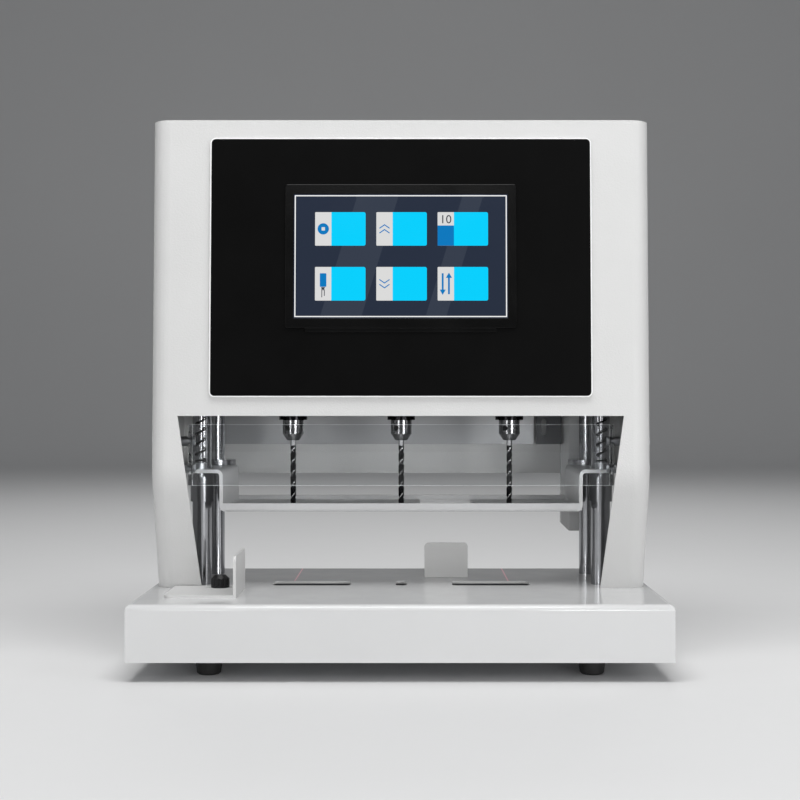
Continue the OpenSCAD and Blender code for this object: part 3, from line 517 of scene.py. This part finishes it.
def make_chuck_steel():
    material = make_finish("chuck_steel", (0.2, 0.2, 0.205), TURNED_RINGS, 900, 0.006, (0.12, 0.2),
                           metallic=1.0, drift=0.08)
    tree = material.node_tree
    x, y, z = object_axes(tree)
    station = math_node(tree, "ROUND", math_node(tree, "DIVIDE", x, DRILL_PITCH))
    aside = math_node(tree, "SUBTRACT", x, math_node(tree, "MULTIPLY", station, DRILL_PITCH))
    ahead = math_node(tree, "SUBTRACT", y, DRILL_Y)
    squares = [math_node(tree, "MULTIPLY", side, side) for side in (aside, ahead)]
    within = math_node(tree, "LESS_THAN", math_node(tree, "ADD", *squares), CHUCK_SKIN_R ** 2)
    # painted shade: the key holes' insides are coloured black, as their shallow drawn pits would show lit
    # metal
    hole = math_node(tree, "MULTIPLY", within, math_node(tree, "GREATER_THAN", z, CHUCK_HOLES_Z))
    black = math_node(tree, "MAXIMUM", hole, math_node(tree, "GREATER_THAN", z, CHUCK_RIM_Z))
    mask_colour(tree, black, tree.nodes["Principled BSDF"].inputs["Base Color"], BLACKENED_AND_SHADE)
    return material


finishes["chuck_steel"] = make_chuck_steel()

# %% [markdown]
# ## The lit screen
# The touch screen is a dark slate page, light from behind the glass, so it is emission, with a glossy skin on
# top. Two slanting lighter bands cross it, and they are steps of a ramp along a slanted axis.

# %% Screen page
SLATE = (0.0155, 0.0225, 0.043, 1)
BAND = (0.031, 0.04, 0.063, 1)
BAND_LEAN = math.radians(17)
BAND_SPAN_MM = 170
BAND_EDGES_MM = (-42.4, -14.4, 29, 43)
SCREEN_BLACK = (0.004, 0.005, 0.006, 1)
SCREEN_SHEEN = 0.25
SCREEN_GLOSS = (0.06, 0.12)


def make_screen_page():
    material, tree, shader = new_material("screen_page")
    shader.inputs["Base Color"].default_value = SCREEN_BLACK
    shader.inputs["Specular IOR Level"].default_value = SCREEN_SHEEN
    shader.inputs["Emission Strength"].default_value = 1.0
    screen_low, screen_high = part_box("touch_screen")
    middle_z = (screen_low.z + screen_high.z) / 2
    place = tree.nodes.new("ShaderNodeTexCoord")
    slant = add_node(tree, "ShaderNodeMapping", Rotation=(0, -BAND_LEAN, 0),
                     Location=(middle_z * math.sin(BAND_LEAN), 0, 0))
    axes = tree.nodes.new("ShaderNodeSeparateXYZ")
    half_span = BAND_SPAN_MM / 2 * MM
    span = add_node(tree, "ShaderNodeMapRange", From_Min=-half_span, From_Max=half_span)
    ramp = add_node(tree, "ShaderNodeValToRGB")
    ramp.color_ramp.interpolation = "CONSTANT"
    stops = ramp.color_ramp.elements
    stops[0].color = SLATE
    stops[1].position = 0.5 + BAND_EDGES_MM[0] / BAND_SPAN_MM
    stops[1].color = BAND
    for edge_mm, colour in zip(BAND_EDGES_MM[1:], (SLATE, BAND, SLATE)):
        stops.new(0.5 + edge_mm / BAND_SPAN_MM).color = colour
    tree.links.new(place.outputs["Object"], slant.inputs["Vector"])
    tree.links.new(slant.outputs["Vector"], axes.inputs["Vector"])
    tree.links.new(axes.outputs["X"], span.inputs["Value"])
    tree.links.new(span.outputs["Result"], ramp.inputs["Fac"])
    tree.links.new(ramp.outputs["Color"], shader.inputs["Emission Color"])
    add_gloss(tree, shader, TOUCH_SCALE, *SCREEN_GLOSS)
    return material


finishes["screen_glass"] = make_screen_page()

# %% [markdown]
# ## Dressing the solids
# Every solid knows its slot from the record. Knobs, inlet and switch are moulded, and a little paler than
# the panel. Sheet metal never has razor edges, so the larger solids get a small live bevel: their loose
# triangles are welded, flat regions are merged back to whole faces, and the sharp edges are rounded. The
# side stop's foot has a slot near its edges and bevels better from its triangles.

# %% Finish and soften every solid
SOFT_EDGES_MM = {
    "base_pan": 0.8, "rear_cover": 0.4, "control_panel": 0.3, "screen_bezel": 0.4,
    "side_stop": 0.4, "back_stop": 0.4, "guard_shield": 0.25, "sensor_duct": 0.4,
}
KEEP_TRIANGLES = {"side_stop"}
MOULDED_NODES = {"power_inlet", "switch_body", "power_rocker", "side_knob", "back_knob"}
MOULDED_BLACK = make_finish("moulded_black", (0.008, 0.008, 0.0085), CAST_GRAIN, 1500, 0.03, (0.36, 0.46),
                            drift=0.1, sheen=0.3)
WELD_GAP = 0.01 * MM
FLAT_ANGLE = math.radians(0.5)
SOFT_ANGLE = math.radians(35)
for subpart in frame["record"]["subparts"]:
    solid = nodes[subpart["node"]]
    moulded = subpart["node"] in MOULDED_NODES
    solid.data.materials.clear()
    solid.data.materials.append(MOULDED_BLACK if moulded else finishes[subpart["material_slot"]])


def soften(node, width_mm):
    """Weld the solid's triangles, merge most flat regions and round the edges, all as live modifiers."""
    solid = nodes[node]
    weld = solid.modifiers.new("weld", "WELD")
    weld.merge_threshold = WELD_GAP
    if node not in KEEP_TRIANGLES:
        flat = solid.modifiers.new("flat", "DECIMATE")
        flat.decimate_type = "DISSOLVE"
        flat.angle_limit = FLAT_ANGLE
    bevel = solid.modifiers.new("bevel", "BEVEL")
    bevel.width = width_mm * MM
    bevel.segments = 2
    bevel.limit_method = "ANGLE"
    bevel.angle_limit = SOFT_ANGLE


for node, width_mm in SOFT_EDGES_MM.items():
    soften(node, width_mm)
print("softened:", len(SOFT_EDGES_MM))

# %% [markdown]
# ## Pictures on the screen
# The page shows a thin white border and six keys in two rows. Each key has a pale square with a blue
# picture on its left and a bright cyan field on its right. They are light from the panel, so they are very
# thin raised plates that glow. Plates are boxes with two rounded corners. They are built flat around the
# origin, then leaned with the screen.

# %% Glow finishes
GLOW_STRENGTH = 0.95
PIXEL_ROWS = 1200.0
ROW_DIP = 0.94
UNLIT = 0.05


def make_glow(name, colour):
    """Light from the screen, with the faint rows of its pixels."""
    material, tree, shader = new_material(name)
    shader.inputs["Base Color"].default_value = tint(colour, UNLIT)
    shader.inputs["Specular IOR Level"].default_value = SCREEN_SHEEN
    shader.inputs["Emission Strength"].default_value = GLOW_STRENGTH
    place = tree.nodes.new("ShaderNodeTexCoord")
    rows = add_node(tree, "ShaderNodeTexWave", {"bands_direction": "Z"}, Scale=PIXEL_ROWS)
    ramp = add_node(tree, "ShaderNodeValToRGB")
    ramp.color_ramp.elements[0].color = tint(colour, ROW_DIP)
    ramp.color_ramp.elements[1].color = tint(colour, 1.0)
    tree.links.new(place.outputs["Object"], rows.inputs["Vector"])
    tree.links.new(rows.outputs["Fac"], ramp.inputs["Fac"])
    tree.links.new(ramp.outputs["Color"], shader.inputs["Emission Color"])
    add_gloss(tree, shader, TOUCH_SCALE, *SCREEN_GLOSS)
    return material


GLOW_BORDER = make_glow("glow_border", (0.93, 0.93, 0.93))
GLOW_WHITE = make_glow("glow_white", (0.72, 0.72, 0.715))
GLOW_CYAN = make_glow("glow_cyan", (0.0, 0.64, 1.0))
GLOW_BLUE = make_glow("glow_blue", (0.002, 0.19, 0.52))
GLOW_INK = make_glow("glow_ink", (0.05, 0.055, 0.07))

# %% Flat plates for the pictures
PLATE_T = 0.12
CORNER_R = 1.3
screen_centre, screen_lean = face_of("touch_screen")[:2]
print("screen centre", screen_centre, "lean", round(math.degrees(screen_lean), 2))


def plate(x0, x1, z0, z1, lift=0.0, corners="", turn=0.0, radius=CORNER_R):
    """A thin plate on the flat page in millimetres; corners names its rounded sides, l and r."""
    bpy.ops.mesh.primitive_cube_add(size=1)
    piece = bpy.context.active_object

    def is_corner(middle, bend):
        return abs(middle.y) < NEAR and ("r" if middle.x > 0 else "l") in corners

    piece.scale = ((x1 - x0) * MM, PLATE_T * MM, (z1 - z0) * MM)
    settle(piece)
    if corners:
        select_edges(piece, is_corner)
        bpy.ops.mesh.bevel(offset=radius * MM, segments=5, affect="EDGES")
        object_mode()
    piece.rotation_euler = (0, turn, 0)
    piece.location = ((x0 + x1) / 2 * MM, -(lift + PLATE_T / 2) * MM, (z0 + z1) / 2 * MM)
    settle(piece)
    return piece


def round_plate(x, z, radius, sides, lift=0.0, turn=0.0):
    """A thin disc, or a triangle where it has three sides."""
    bpy.ops.mesh.primitive_cylinder_add(vertices=sides, radius=radius * MM, depth=PLATE_T * MM)
    piece = bpy.context.active_object
    piece.rotation_euler = (math.radians(90), turn, 0)
    piece.location = (x * MM, -(lift + PLATE_T / 2) * MM, z * MM)
    settle(piece)
    return piece


def show(name, parts, material):
    """Join flat parts to one picture, lean it on the screen's face and dress it."""
    dress(lean_on(join(name, parts), screen_centre, screen_lean), "frame", material)


# %% Border and keys
BORDER_W = 149.7
BORDER_H = 86.4
BORDER_T = 0.75
KEY_W = 35.6
KEY_H = 23.8
KEY_ICON_W = 11.5
KEY_STEP_X = 43.2
KEY_STEP_Z = 38.9
KEY_SHIFT = Vector((0.6, -0.2))
ICON_CORNER_R = 0.6
half_w, half_h = BORDER_W / 2, BORDER_H / 2
border_parts = []
for side in (-1, 1):
    x = side * (half_w - BORDER_T / 2)
    z = side * (half_h - BORDER_T / 2)
    border_parts.append(plate(x - BORDER_T / 2, x + BORDER_T / 2, -half_h + BORDER_T, half_h - BORDER_T))
    border_parts.append(plate(-half_w, half_w, z - BORDER_T / 2, z + BORDER_T / 2))
show("screen_border", border_parts, GLOW_BORDER)
key_places = []
icon_plates = []
key_fields = []
for row in (0, 1):
    for column in (-1, 0, 1):
        left = KEY_SHIFT.x + column * KEY_STEP_X - KEY_W / 2
        low = KEY_SHIFT.y + (0.5 - row) * KEY_STEP_Z - KEY_H / 2
        key_places.append((left + KEY_ICON_W / 2, low + KEY_H / 2))
        icon_plates.append(plate(left, left + KEY_ICON_W, low, low + KEY_H, 0, "l", radius=ICON_CORNER_R))
        key_fields.append(plate(left + KEY_ICON_W, left + KEY_W, low, low + KEY_H, 0, "r"))
show("key_picture_plates", icon_plates, GLOW_WHITE)
show("key_fields", key_fields, GLOW_CYAN)

# %% [markdown]
# ## Key pictures
# The pictures are the plain signs that any such machine shows: a stop disc, two arrows up or down, a drill,
# a pair of arrows and a number of holes. Bars, discs and triangles make them all. Their sizes are
# millimetres on the page.

# %% Signs made of bars and triangles
LIFT = PLATE_T
STROKE = 0.7
CHEVRON_ANGLE = math.radians(35)
CHEVRON_ASIDE = 1.722
CHEVRON_BAR = 4.515
CHEVRON_STEP = 1.7
ARROW_HALF = 7.4
ARROW_SHAFT_HALF = 0.65
ARROW_HEAD_R = 2.5
ARROW_HEAD_IN = 2.0
ARROW_ASIDE = 2.2


def bar(x, z, length, turn, thick=STROKE):
    return plate(x - length / 2, x + length / 2, z - thick / 2, z + thick / 2, LIFT, turn=turn)


def chevron(x, z, direction):
    """Two bars that meet in a point, up or down."""
    turn = direction * CHEVRON_ANGLE
    return [bar(x + side * CHEVRON_ASIDE, z, CHEVRON_BAR, side * turn) for side in (-1, 1)]


def arrow(x, z, direction):
    """A shaft that ends inside its triangle, up or down."""
    low = z - ARROW_HALF + ARROW_HEAD_IN * max(-direction, 0)
    high = z + ARROW_HALF - ARROW_HEAD_IN * max(direction, 0)
    head_z = z + direction * (ARROW_HALF - ARROW_HEAD_IN)
    shaft = plate(x - ARROW_SHAFT_HALF, x + ARROW_SHAFT_HALF, low, high, LIFT)
    head = round_plate(x, head_z, ARROW_HEAD_R, 3, LIFT, 0 if direction > 0 else math.pi)
    return [shaft, head]


# %% Key pictures
STOP_R = 4.0
STOP_SIDES = 40
STOP_SQUARE_HALF = 1.2
STOP_SQUARE_CORNER_R = 0.3
COUNT_FIELD_TOP = 2.4
NUMBER_UP = 4.0
NUMBER_SIZE = 8.4
DRILL_SIGN_HALF = 2.3
DRILL_SIGN_LOW = -2.2
DRILL_SIGN_HIGH = 7.4
DRILL_SIGN_CORNER_R = 0.5
BIT_LINES_ASIDE = 0.9
BIT_LINES_Z = -6.3
BIT_LINES_LENGTH = 5.6
BIT_LINES_THICK = 0.55
BIT_NOSE_Z = -3.3
BIT_NOSE_R = 1.7
(stop_x, stop_z), (up_x, up_z), (count_x, count_z) = key_places[:3]
(drill_x, drill_z), (down_x, down_z), (pair_x, pair_z) = key_places[3:]
blue_signs = [round_plate(stop_x, stop_z, STOP_R, STOP_SIDES, LIFT)]
for step in (-CHEVRON_STEP, CHEVRON_STEP):
    blue_signs += chevron(up_x, up_z + step, 1)
    blue_signs += chevron(down_x, down_z + step, -1)
blue_signs.append(plate(count_x - KEY_ICON_W / 2, count_x + KEY_ICON_W / 2,
                        count_z - KEY_H / 2, count_z + COUNT_FIELD_TOP, LIFT))
blue_signs.append(plate(drill_x - DRILL_SIGN_HALF, drill_x + DRILL_SIGN_HALF,
                        drill_z + DRILL_SIGN_LOW, drill_z + DRILL_SIGN_HIGH, LIFT, "lr",
                        radius=DRILL_SIGN_CORNER_R))
blue_signs += arrow(pair_x - ARROW_ASIDE, pair_z, -1) + arrow(pair_x + ARROW_ASIDE, pair_z, 1)
show("key_signs_blue", blue_signs, GLOW_BLUE)
stop_square = plate(stop_x - STOP_SQUARE_HALF, stop_x + STOP_SQUARE_HALF,
                    stop_z - STOP_SQUARE_HALF, stop_z + STOP_SQUARE_HALF, 2 * PLATE_T, "lr",
                    radius=STOP_SQUARE_CORNER_R)
show("key_sign_square", [stop_square], GLOW_WHITE)
ink_signs = []
for side in (-1, 1):
    line_x = drill_x + side * BIT_LINES_ASIDE
    length = BIT_LINES_LENGTH - side
    ink_signs.append(bar(line_x, drill_z + BIT_LINES_Z, length, math.radians(90), BIT_LINES_THICK))
ink_signs.append(round_plate(drill_x, drill_z + BIT_NOSE_Z, BIT_NOSE_R, 3, LIFT, math.pi))
bpy.ops.object.text_add()
number = bpy.context.active_object
number.data.body = "10"
number.data.size = NUMBER_SIZE * MM
number.data.align_x = "CENTER"
number.data.extrude = PLATE_T / 2 * MM
bpy.ops.object.convert(target="MESH")
number.rotation_euler = (math.radians(90), 0, 0)
number.location = (count_x * MM, -(LIFT + PLATE_T / 2) * MM, (count_z + NUMBER_UP) * MM)
settle(number)
ink_signs.append(number)
show("key_signs_ink", ink_signs, GLOW_INK)

# %% [markdown]
# ## Clamp springs
# Each spring is black wire wound round its rod between the clamp's seat and the carriage. The last turns at
# both ends lie flat, so the pitch closes up there. A path with a round bevel gives the wire, and the coils
# ride with the clamp.

# %% Wound springs
WIRE_R = 0.65 * MM
CURLS = 10
STEPS_PER_CURL = 24
DEAD_CURLS = 1.0
DEAD_RISE = 2.1 * WIRE_R * DEAD_CURLS
spring_low, spring_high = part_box("clamp_springs")
seat_low, seat_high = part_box("spring_seats")
coil_x = seat_high.x + (seat_low.y - seat_high.y) / 2
coil_y = (seat_low.y + seat_high.y) / 2
coil_r = (spring_high.y - spring_low.y) / 2 - WIRE_R
spring_length = spring_high.z - spring_low.z


def coil_height(turn):
    """Height along the spring at a turn: flat ends, even pitch between them."""
    rise = spring_length - 2 * WIRE_R
    live = CURLS - 2 * DEAD_CURLS
    if turn < DEAD_CURLS:
        return DEAD_RISE * turn / DEAD_CURLS
    if turn > CURLS - DEAD_CURLS:
        return rise - DEAD_RISE * (CURLS - turn) / DEAD_CURLS
    return DEAD_RISE + (rise - 2 * DEAD_RISE) * (turn - DEAD_CURLS) / live


def wind_spring(side):
    wire = bpy.data.curves.new("spring_wire", "CURVE")
    wire.dimensions = "3D"
    wire.bevel_depth = WIRE_R
    wire.bevel_resolution = 4
    wire.use_fill_caps = True
    path = wire.splines.new("POLY")
    count = CURLS * STEPS_PER_CURL + 1
    path.points.add(count - 1)
    for i in range(count):
        turn = i / STEPS_PER_CURL
        angle = 2 * math.pi * turn
        x = side * coil_x + coil_r * math.cos(angle)
        y = coil_y + coil_r * math.sin(angle)
        path.points[i].co = (x, y, spring_low.z + WIRE_R + coil_height(turn), 1)
    coil = bpy.data.objects.new("spring_wire", wire)
    bpy.context.scene.collection.objects.link(coil)
    only(coil)
    bpy.ops.object.convert(target="MESH")
    bpy.ops.object.shade_smooth()
    return bpy.context.active_object


springs = join("clamp_spring_coils", [wind_spring(-1), wind_spring(1)])
dress(springs, "clamp", finishes["black_steel"])
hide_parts("clamp_springs")
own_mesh(springs)

# %% [markdown]
# ## Copies of solids
# Where a solid needs a finer form than its drawing, a copy is taken, its loose triangles are merged and its
# flat regions made whole again. The copy is then shaped like any other mesh, and it stands for the solid in
# the picture.

# %% Helpers for copies
SHEET_SMOOTH = math.radians(30)


def copy_of(node, name):
    """A free copy of a solid with whole faces."""
    piece = duplicate(nodes[node], name)
    piece.parent = None
    piece.modifiers.clear()
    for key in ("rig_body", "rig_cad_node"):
        del piece[key]
    only(piece)
    bpy.ops.mesh.customdata_custom_splitnormals_clear()
    edit_all(piece)
    bpy.ops.mesh.remove_doubles(threshold=WELD_GAP)
    bpy.ops.mesh.dissolve_limited(angle_limit=FLAT_ANGLE)
    object_mode()
    return piece


def smooth_sheet(piece):
    """Smooth shading on the bends, with the large flat faces kept flat."""
    only(piece)
    bpy.ops.object.shade_smooth_by_angle(angle=SHEET_SMOOTH)
    apply_modifier(piece, "WEIGHTED_NORMAL", mode="FACE_AREA", weight=100, keep_sharp=True)


# %% [markdown]
# ## The head's skin
# The head is bent from one sheet: a leaning front runs into sloping legs. The drawing has a plain edge at
# this knee, and the real bend is round. The knee is the foremost line of the solid, so the copy is cut by a
# row of planes near it, and the points between them are moved back along a parabola that meets both slopes
# without a crease. The other sharp edges get the small radius of a folded and painted sheet.

# %% Head skin
KNEE_REACH = 11 * MM
KNEE_CUTS = 7
HEAD_LEAN = math.radians(2.7)
LEG_SLOPE = math.radians(19)
FOLD_R = 0.9 * MM
head_skin = copy_of("head_shell", "head_skin")
knee = min((point.co for point in head_skin.data.vertices), key=lambda place: place.y).copy()
knee.x = 0
across = Vector((0, math.sin(HEAD_LEAN) - math.sin(LEG_SLOPE), math.cos(HEAD_LEAN) + math.cos(LEG_SLOPE)))
across.normalize()
half_bend = math.tan((HEAD_LEAN + LEG_SLOPE) / 2)
for cut in range(-KNEE_CUTS, KNEE_CUTS + 1):
    edit_all(head_skin)
    bpy.ops.mesh.bisect(plane_co=knee + across * KNEE_REACH * cut / KNEE_CUTS, plane_no=across)
    object_mode()
for point in head_skin.data.vertices:
    away = abs((point.co - knee).dot(across))
    if away < KNEE_REACH and point.co.y < 0:
        point.co.y += half_bend * (KNEE_REACH - away) ** 2 / (2 * KNEE_REACH)
round_edges(head_skin, FOLD_R, 3, 40)
smooth_sheet(head_skin)
dress(head_skin, "frame", finishes["white_paint"])
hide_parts("head_shell")
print("knee at", [round(x, 4) for x in knee])

# %% [markdown]
# ## The clamp's rolled lip
# The clamp is a folded plate whose lower front and rear edges are rolled over, so the lip is bright above
# and shaded below. The copy's two long lower edges are bevelled almost through the sheet, the others only a
# little.

# %% Clamp skin
ROLL_R = 2.2 * MM
CLAMP_EDGE_R = 0.4 * MM
CLAMP_NEAR = 0.1 * MM
clamp_skin = copy_of("clamp_plate", "clamp_skin")
clamp_low, clamp_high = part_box("clamp_plate")


def is_long_lower_edge(middle, bend):
    at_side = min(abs(middle.y - clamp_low.y), abs(middle.y - clamp_high.y)) < CLAMP_NEAR
    return 60 < bend < 120 and at_side and middle.z < clamp_low.z + CLAMP_NEAR


long_edges = select_edges(clamp_skin, is_long_lower_edge)
bpy.ops.mesh.bevel(offset=ROLL_R, segments=5, affect="EDGES", clamp_overlap=False)
object_mode()
round_edges(clamp_skin, CLAMP_EDGE_R, 2, 40)
smooth_sheet(clamp_skin)
CLAMP_PAINT = make_finish("clamp_paint", (0.56, 0.563, 0.568), POWDER_PEEL, 700, 0.05, (0.3, 0.38),
                          drift=0.015)
dress(clamp_skin, "clamp", CLAMP_PAINT)
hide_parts("clamp_plate")
print("rolled edges", long_edges)

# %% [markdown]
# ## Bright line round the panel
# The black panel sits in a white frame whose thin lip shines round it. The lip is a ring: a plane with
# rounded corners, inset, its middle taken out, and given a thickness. Its paint is paler and glossier than
# the white coat, as a painted highlight.

# %% Panel lip
LIP = 0.9 * MM
LIP_THICK = 1.6 * MM
LIP_EDGE_R = 0.2 * MM
PANEL_CORNER_R = 3.0 * MM


def rounded_ring(name, width, height, radius, band, thick):
    """An upright ring with rounded corners round the origin."""
    bpy.ops.mesh.primitive_plane_add(size=1)
    ring = bpy.context.active_object
    ring.name = name
    ring.scale = (width, height, 1)
    settle(ring)
    edit_all(ring)
    bpy.ops.mesh.bevel(offset=radius, segments=8, affect="VERTICES")
    bpy.ops.mesh.select_all(action="SELECT")
    bpy.ops.mesh.inset(thickness=band)
    bpy.ops.mesh.delete(type="FACE")
    object_mode()
    ring.rotation_euler = (math.radians(90), 0, 0)
    settle(ring)
    apply_modifier(ring, "SOLIDIFY", thickness=thick, offset=0)
    return ring


panel_centre, panel_lean, panel_w, panel_h = face_of("control_panel")
panel_lip = rounded_ring("panel_lip", panel_w + 2 * LIP, panel_h + 2 * LIP,
                         PANEL_CORNER_R + LIP, LIP, LIP_THICK)
panel_lip.location = (0, LIP_THICK / 2, 0)
settle(panel_lip)
round_edges(panel_lip, LIP_EDGE_R, 2, 50)
# painted highlight: the lip is coloured paler than the head's white paint to show its shine
LIP_HIGHLIGHT_PAINT = make_finish("lip_painted_highlight", (0.88, 0.88, 0.88), POWDER_PEEL, 900, 0.01, (0.2, 0.28), drift=0.01)
dress(lean_on(panel_lip, panel_centre, panel_lean), "frame", LIP_HIGHLIGHT_PAINT)

# %% [markdown]
# ## Edges of the clear guard
# Clear sheet gathers light and lets it out at its sawn edges, which show as thin pale lines. A copy of the
# sheet keeps only its edge faces, and a little thickness makes them a strip whose pale colour is partly the
# frost of the sawn edge and partly painted light.

# %% Guard edges
FROST_THICK = 0.12 * MM
guard_edges = copy_of("guard_shield", "guard_edges")
select_faces(guard_edges, lambda centre, normal: abs(normal.z) < FACING)
bpy.ops.mesh.delete(type="FACE")
object_mode()
apply_modifier(guard_edges, "SOLIDIFY", thickness=FROST_THICK, offset=1.0)
# the strip's pale colour is partly the sawn edge's frost, partly painted light leaving the sheet
EDGE_FROST_AND_GLOW = make_finish("frosted_edge_painted_glow", (0.8, 0.83, 0.84), CAST_GRAIN, 1500, 0.02, (0.5, 0.6), drift=0.04)
dress(guard_edges, "frame", EDGE_FROST_AND_GLOW)

# %% [markdown]
# ## Twist drills
# A twist drill is a round bar with two flutes that wind up it. Only a narrow margin along each flute has
# the full radius and is ground bright, and the rest is relieved and black. Its cross section is a circle
# with two bites taken out, and the Screw modifier winds that outline up the axis. The point is a short cone
# and the plain shank goes up into the chuck.

# %% Drill steel
def make_drill_steel():
    material = make_finish("fluted_drill_steel", (0.5, 0.5, 0.51), CAST_GRAIN, 900, 0.004, (0.16, 0.26),
                           metallic=1.0, drift=0.06)
    tree = material.node_tree
    depth = add_node(tree, "ShaderNodeAttribute", {"attribute_name": "flute_depth"})
    mask_colour(tree, depth.outputs["Fac"], tree.nodes["Principled BSDF"].inputs["Base Color"], BLACKENED_AND_SHADE)
    return material


DRILL_STEEL = make_drill_steel()

# %% Drill shape
DRILL_R = 2.2 * MM
BITE_R = 0.62 * DRILL_R
BITE_OUT = 0.92 * DRILL_R
RELIEF = 0.94
MARGIN = (math.radians(36), math.radians(60))
POINT_H = 1.3 * MM
POINT_SHARE = 0.08
FLUTE_PITCH = 17.0 * MM
FLUTE_END_Z = 0.154
OUTLINE_POINTS = 64
WIND_STEPS = 132
SHANK_SIDES = 48
SHANK_EDGE_R = 0.2 * MM
DRILL_SMOOTH = math.radians(40)


def outline_radius(angle):
    """Radius of the drill's section: full on the margin, a little less behind it, bitten away in a flute."""
    turn = angle % math.pi
    turn = turn if turn < math.pi / 2 else turn - math.pi
    aside = BITE_OUT * math.sin(turn)
    body = DRILL_R if MARGIN[0] < turn < MARGIN[1] else DRILL_R * RELIEF
    if abs(aside) >= BITE_R:
        return body
    return min(body, BITE_OUT * math.cos(turn) - math.sqrt(BITE_R ** 2 - aside ** 2))


drill_low, drill_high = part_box("drill_centre")
flute_low = drill_low.z + POINT_H
flute_length = FLUTE_END_Z - flute_low
bpy.ops.mesh.primitive_circle_add(vertices=OUTLINE_POINTS, radius=DRILL_R, fill_type="NOTHING")
fluted = bpy.context.active_object
for point in fluted.data.vertices:
    angle = math.atan2(point.co.y, point.co.x)
    radius = outline_radius(angle)
    point.co = (radius * math.cos(angle), radius * math.sin(angle), 0)
apply_modifier(fluted, "SCREW", angle=2 * math.pi * flute_length / FLUTE_PITCH, screw_offset=flute_length,
               steps=WIND_STEPS, render_steps=WIND_STEPS, axis="Z", use_smooth_shade=True)
edit_all(fluted)
bpy.ops.mesh.fill_holes(sides=0)
object_mode()
select_faces(fluted, lambda centre, normal: centre.z < NEAR)
bpy.ops.mesh.extrude_region_move(TRANSFORM_OT_translate={"value": (0, 0, -POINT_H)})
bpy.ops.transform.resize(value=(POINT_SHARE, POINT_SHARE, 1), center_override=(0, 0, -POINT_H))
bpy.ops.mesh.select_all(action="SELECT")
bpy.ops.mesh.normals_make_consistent(inside=False)
object_mode()
depths = fluted.data.attributes.new("flute_depth", "FLOAT", "POINT")
for index, point in enumerate(fluted.data.vertices):
    gone = 1 - math.hypot(point.co.x, point.co.y) / DRILL_R
    depths.data[index].value = max(0.0, min(1.0, gone / (1 - RELIEF))) if point.co.z > -NEAR else 0.0
shank_length = drill_high.z - FLUTE_END_Z
bpy.ops.mesh.primitive_cylinder_add(vertices=SHANK_SIDES, radius=DRILL_R, depth=shank_length,
                                    location=(0, 0, flute_length + shank_length / 2))
shank = bpy.context.active_object
settle(shank)
round_edges(shank, SHANK_EDGE_R, 2, 40)
drill_bit = join("drill_bit", [fluted, shank])
bpy.ops.object.shade_smooth_by_angle(angle=DRILL_SMOOTH)
for side in ("left", "centre", "right"):
    side_low, side_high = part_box("drill_" + side)
    bit = duplicate(drill_bit, "drill_bit_" + side)
    bit.location = ((side_low.x + side_high.x) / 2, (side_low.y + side_high.y) / 2, flute_low)
    settle(bit)
    dress(bit, "spindle_" + side, DRILL_STEEL)
    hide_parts("drill_" + side)
bpy.data.objects.remove(drill_bit)
print("flute", round(flute_length, 4), "shank", round(shank_length, 4))

# %% [markdown]
# ## Studio
# A pale floor rolls up into a pale wall behind the machine, so no horizon shows. The main lamp hangs above,
# and a smaller one stands far in front. A low key lamp on each side shines under the head onto the drills,
# a tall strip on each side draws the bright upright lines on the steel posts, and one more lamp lights the
# back.

# %% Floor and backdrop
FLOOR_W = 12
FLOOR_D = 8
WALL_H = 5
CURVE_R = 1.2
bpy.ops.mesh.primitive_plane_add(size=1, location=(0, 0, 0))
floor = bpy.context.active_object
floor.name = "studio_floor"
floor.scale = (FLOOR_W, FLOOR_D, 1)
settle(floor)
select_edges(floor, lambda middle, bend: middle.y > FLOOR_D / 4)
bpy.ops.mesh.extrude_region_move(TRANSFORM_OT_translate={"value": (0, 0, WALL_H)})
object_mode()
round_edges(floor, CURVE_R, 12, 30)
bpy.ops.object.shade_smooth()
STUDIO_PAPER = make_finish("studio_paper", (0.72, 0.72, 0.72), CAST_GRAIN, 60, 0.05, (0.7, 0.8), drift=0.01)
floor.data.materials.append(STUDIO_PAPER)

# %% Lamps and world
WORLD_TINT = (0.95, 0.97, 1.0, 1)
WORLD_STRENGTH = 0.17


def add_lamp(name, place, aim, size, energy):
    data = bpy.data.lights.new(name, "AREA")
    data.shape = "RECTANGLE"
    data.size = size[0]
    data.size_y = size[1]
    data.energy = energy
    lamp = bpy.data.objects.new(name, data)
    lamp.location = place
    lamp.rotation_euler = (Vector(aim) - Vector(place)).to_track_quat("-Z", "Y").to_euler()
    bpy.context.scene.collection.objects.link(lamp)


add_lamp("front_softbox", place=(0.1, -2.0, 1.07), aim=(0, 0, 0.12), size=(1.0, 0.22), energy=3.2)
add_lamp("top_softbox", place=(0, -0.55, 1.5), aim=(0, -0.1, 0.05), size=(1.2, 0.6), energy=17)
add_lamp("left_key", place=(-0.85, -1.6, 0.22), aim=(0, 0, 0.13), size=(0.5, 0.24), energy=2.7)
add_lamp("right_key", place=(0.85, -1.6, 0.22), aim=(0, 0, 0.13), size=(0.5, 0.24), energy=6.0)
add_lamp("left_strip", place=(-1.25, -0.7, 0.62), aim=(0, 0, 0.2), size=(0.3, 0.9), energy=2.0)
add_lamp("right_strip", place=(1.25, -0.7, 0.62), aim=(0, 0, 0.25), size=(0.3, 0.9), energy=3.6)
add_lamp("rear_softbox", place=(0, 1.4, 1.5), aim=(0, 0, 0.2), size=(1.4, 1.0), energy=9)
world = bpy.data.worlds.new("studio_world")
world.use_nodes = True
background = world.node_tree.nodes["Background"]
background.inputs["Color"].default_value = WORLD_TINT
background.inputs["Strength"].default_value = WORLD_STRENGTH
bpy.context.scene.world = world
bpy.context.scene.view_settings.view_transform = "Standard"

# %% Update the scene
bpy.context.view_layer.update()
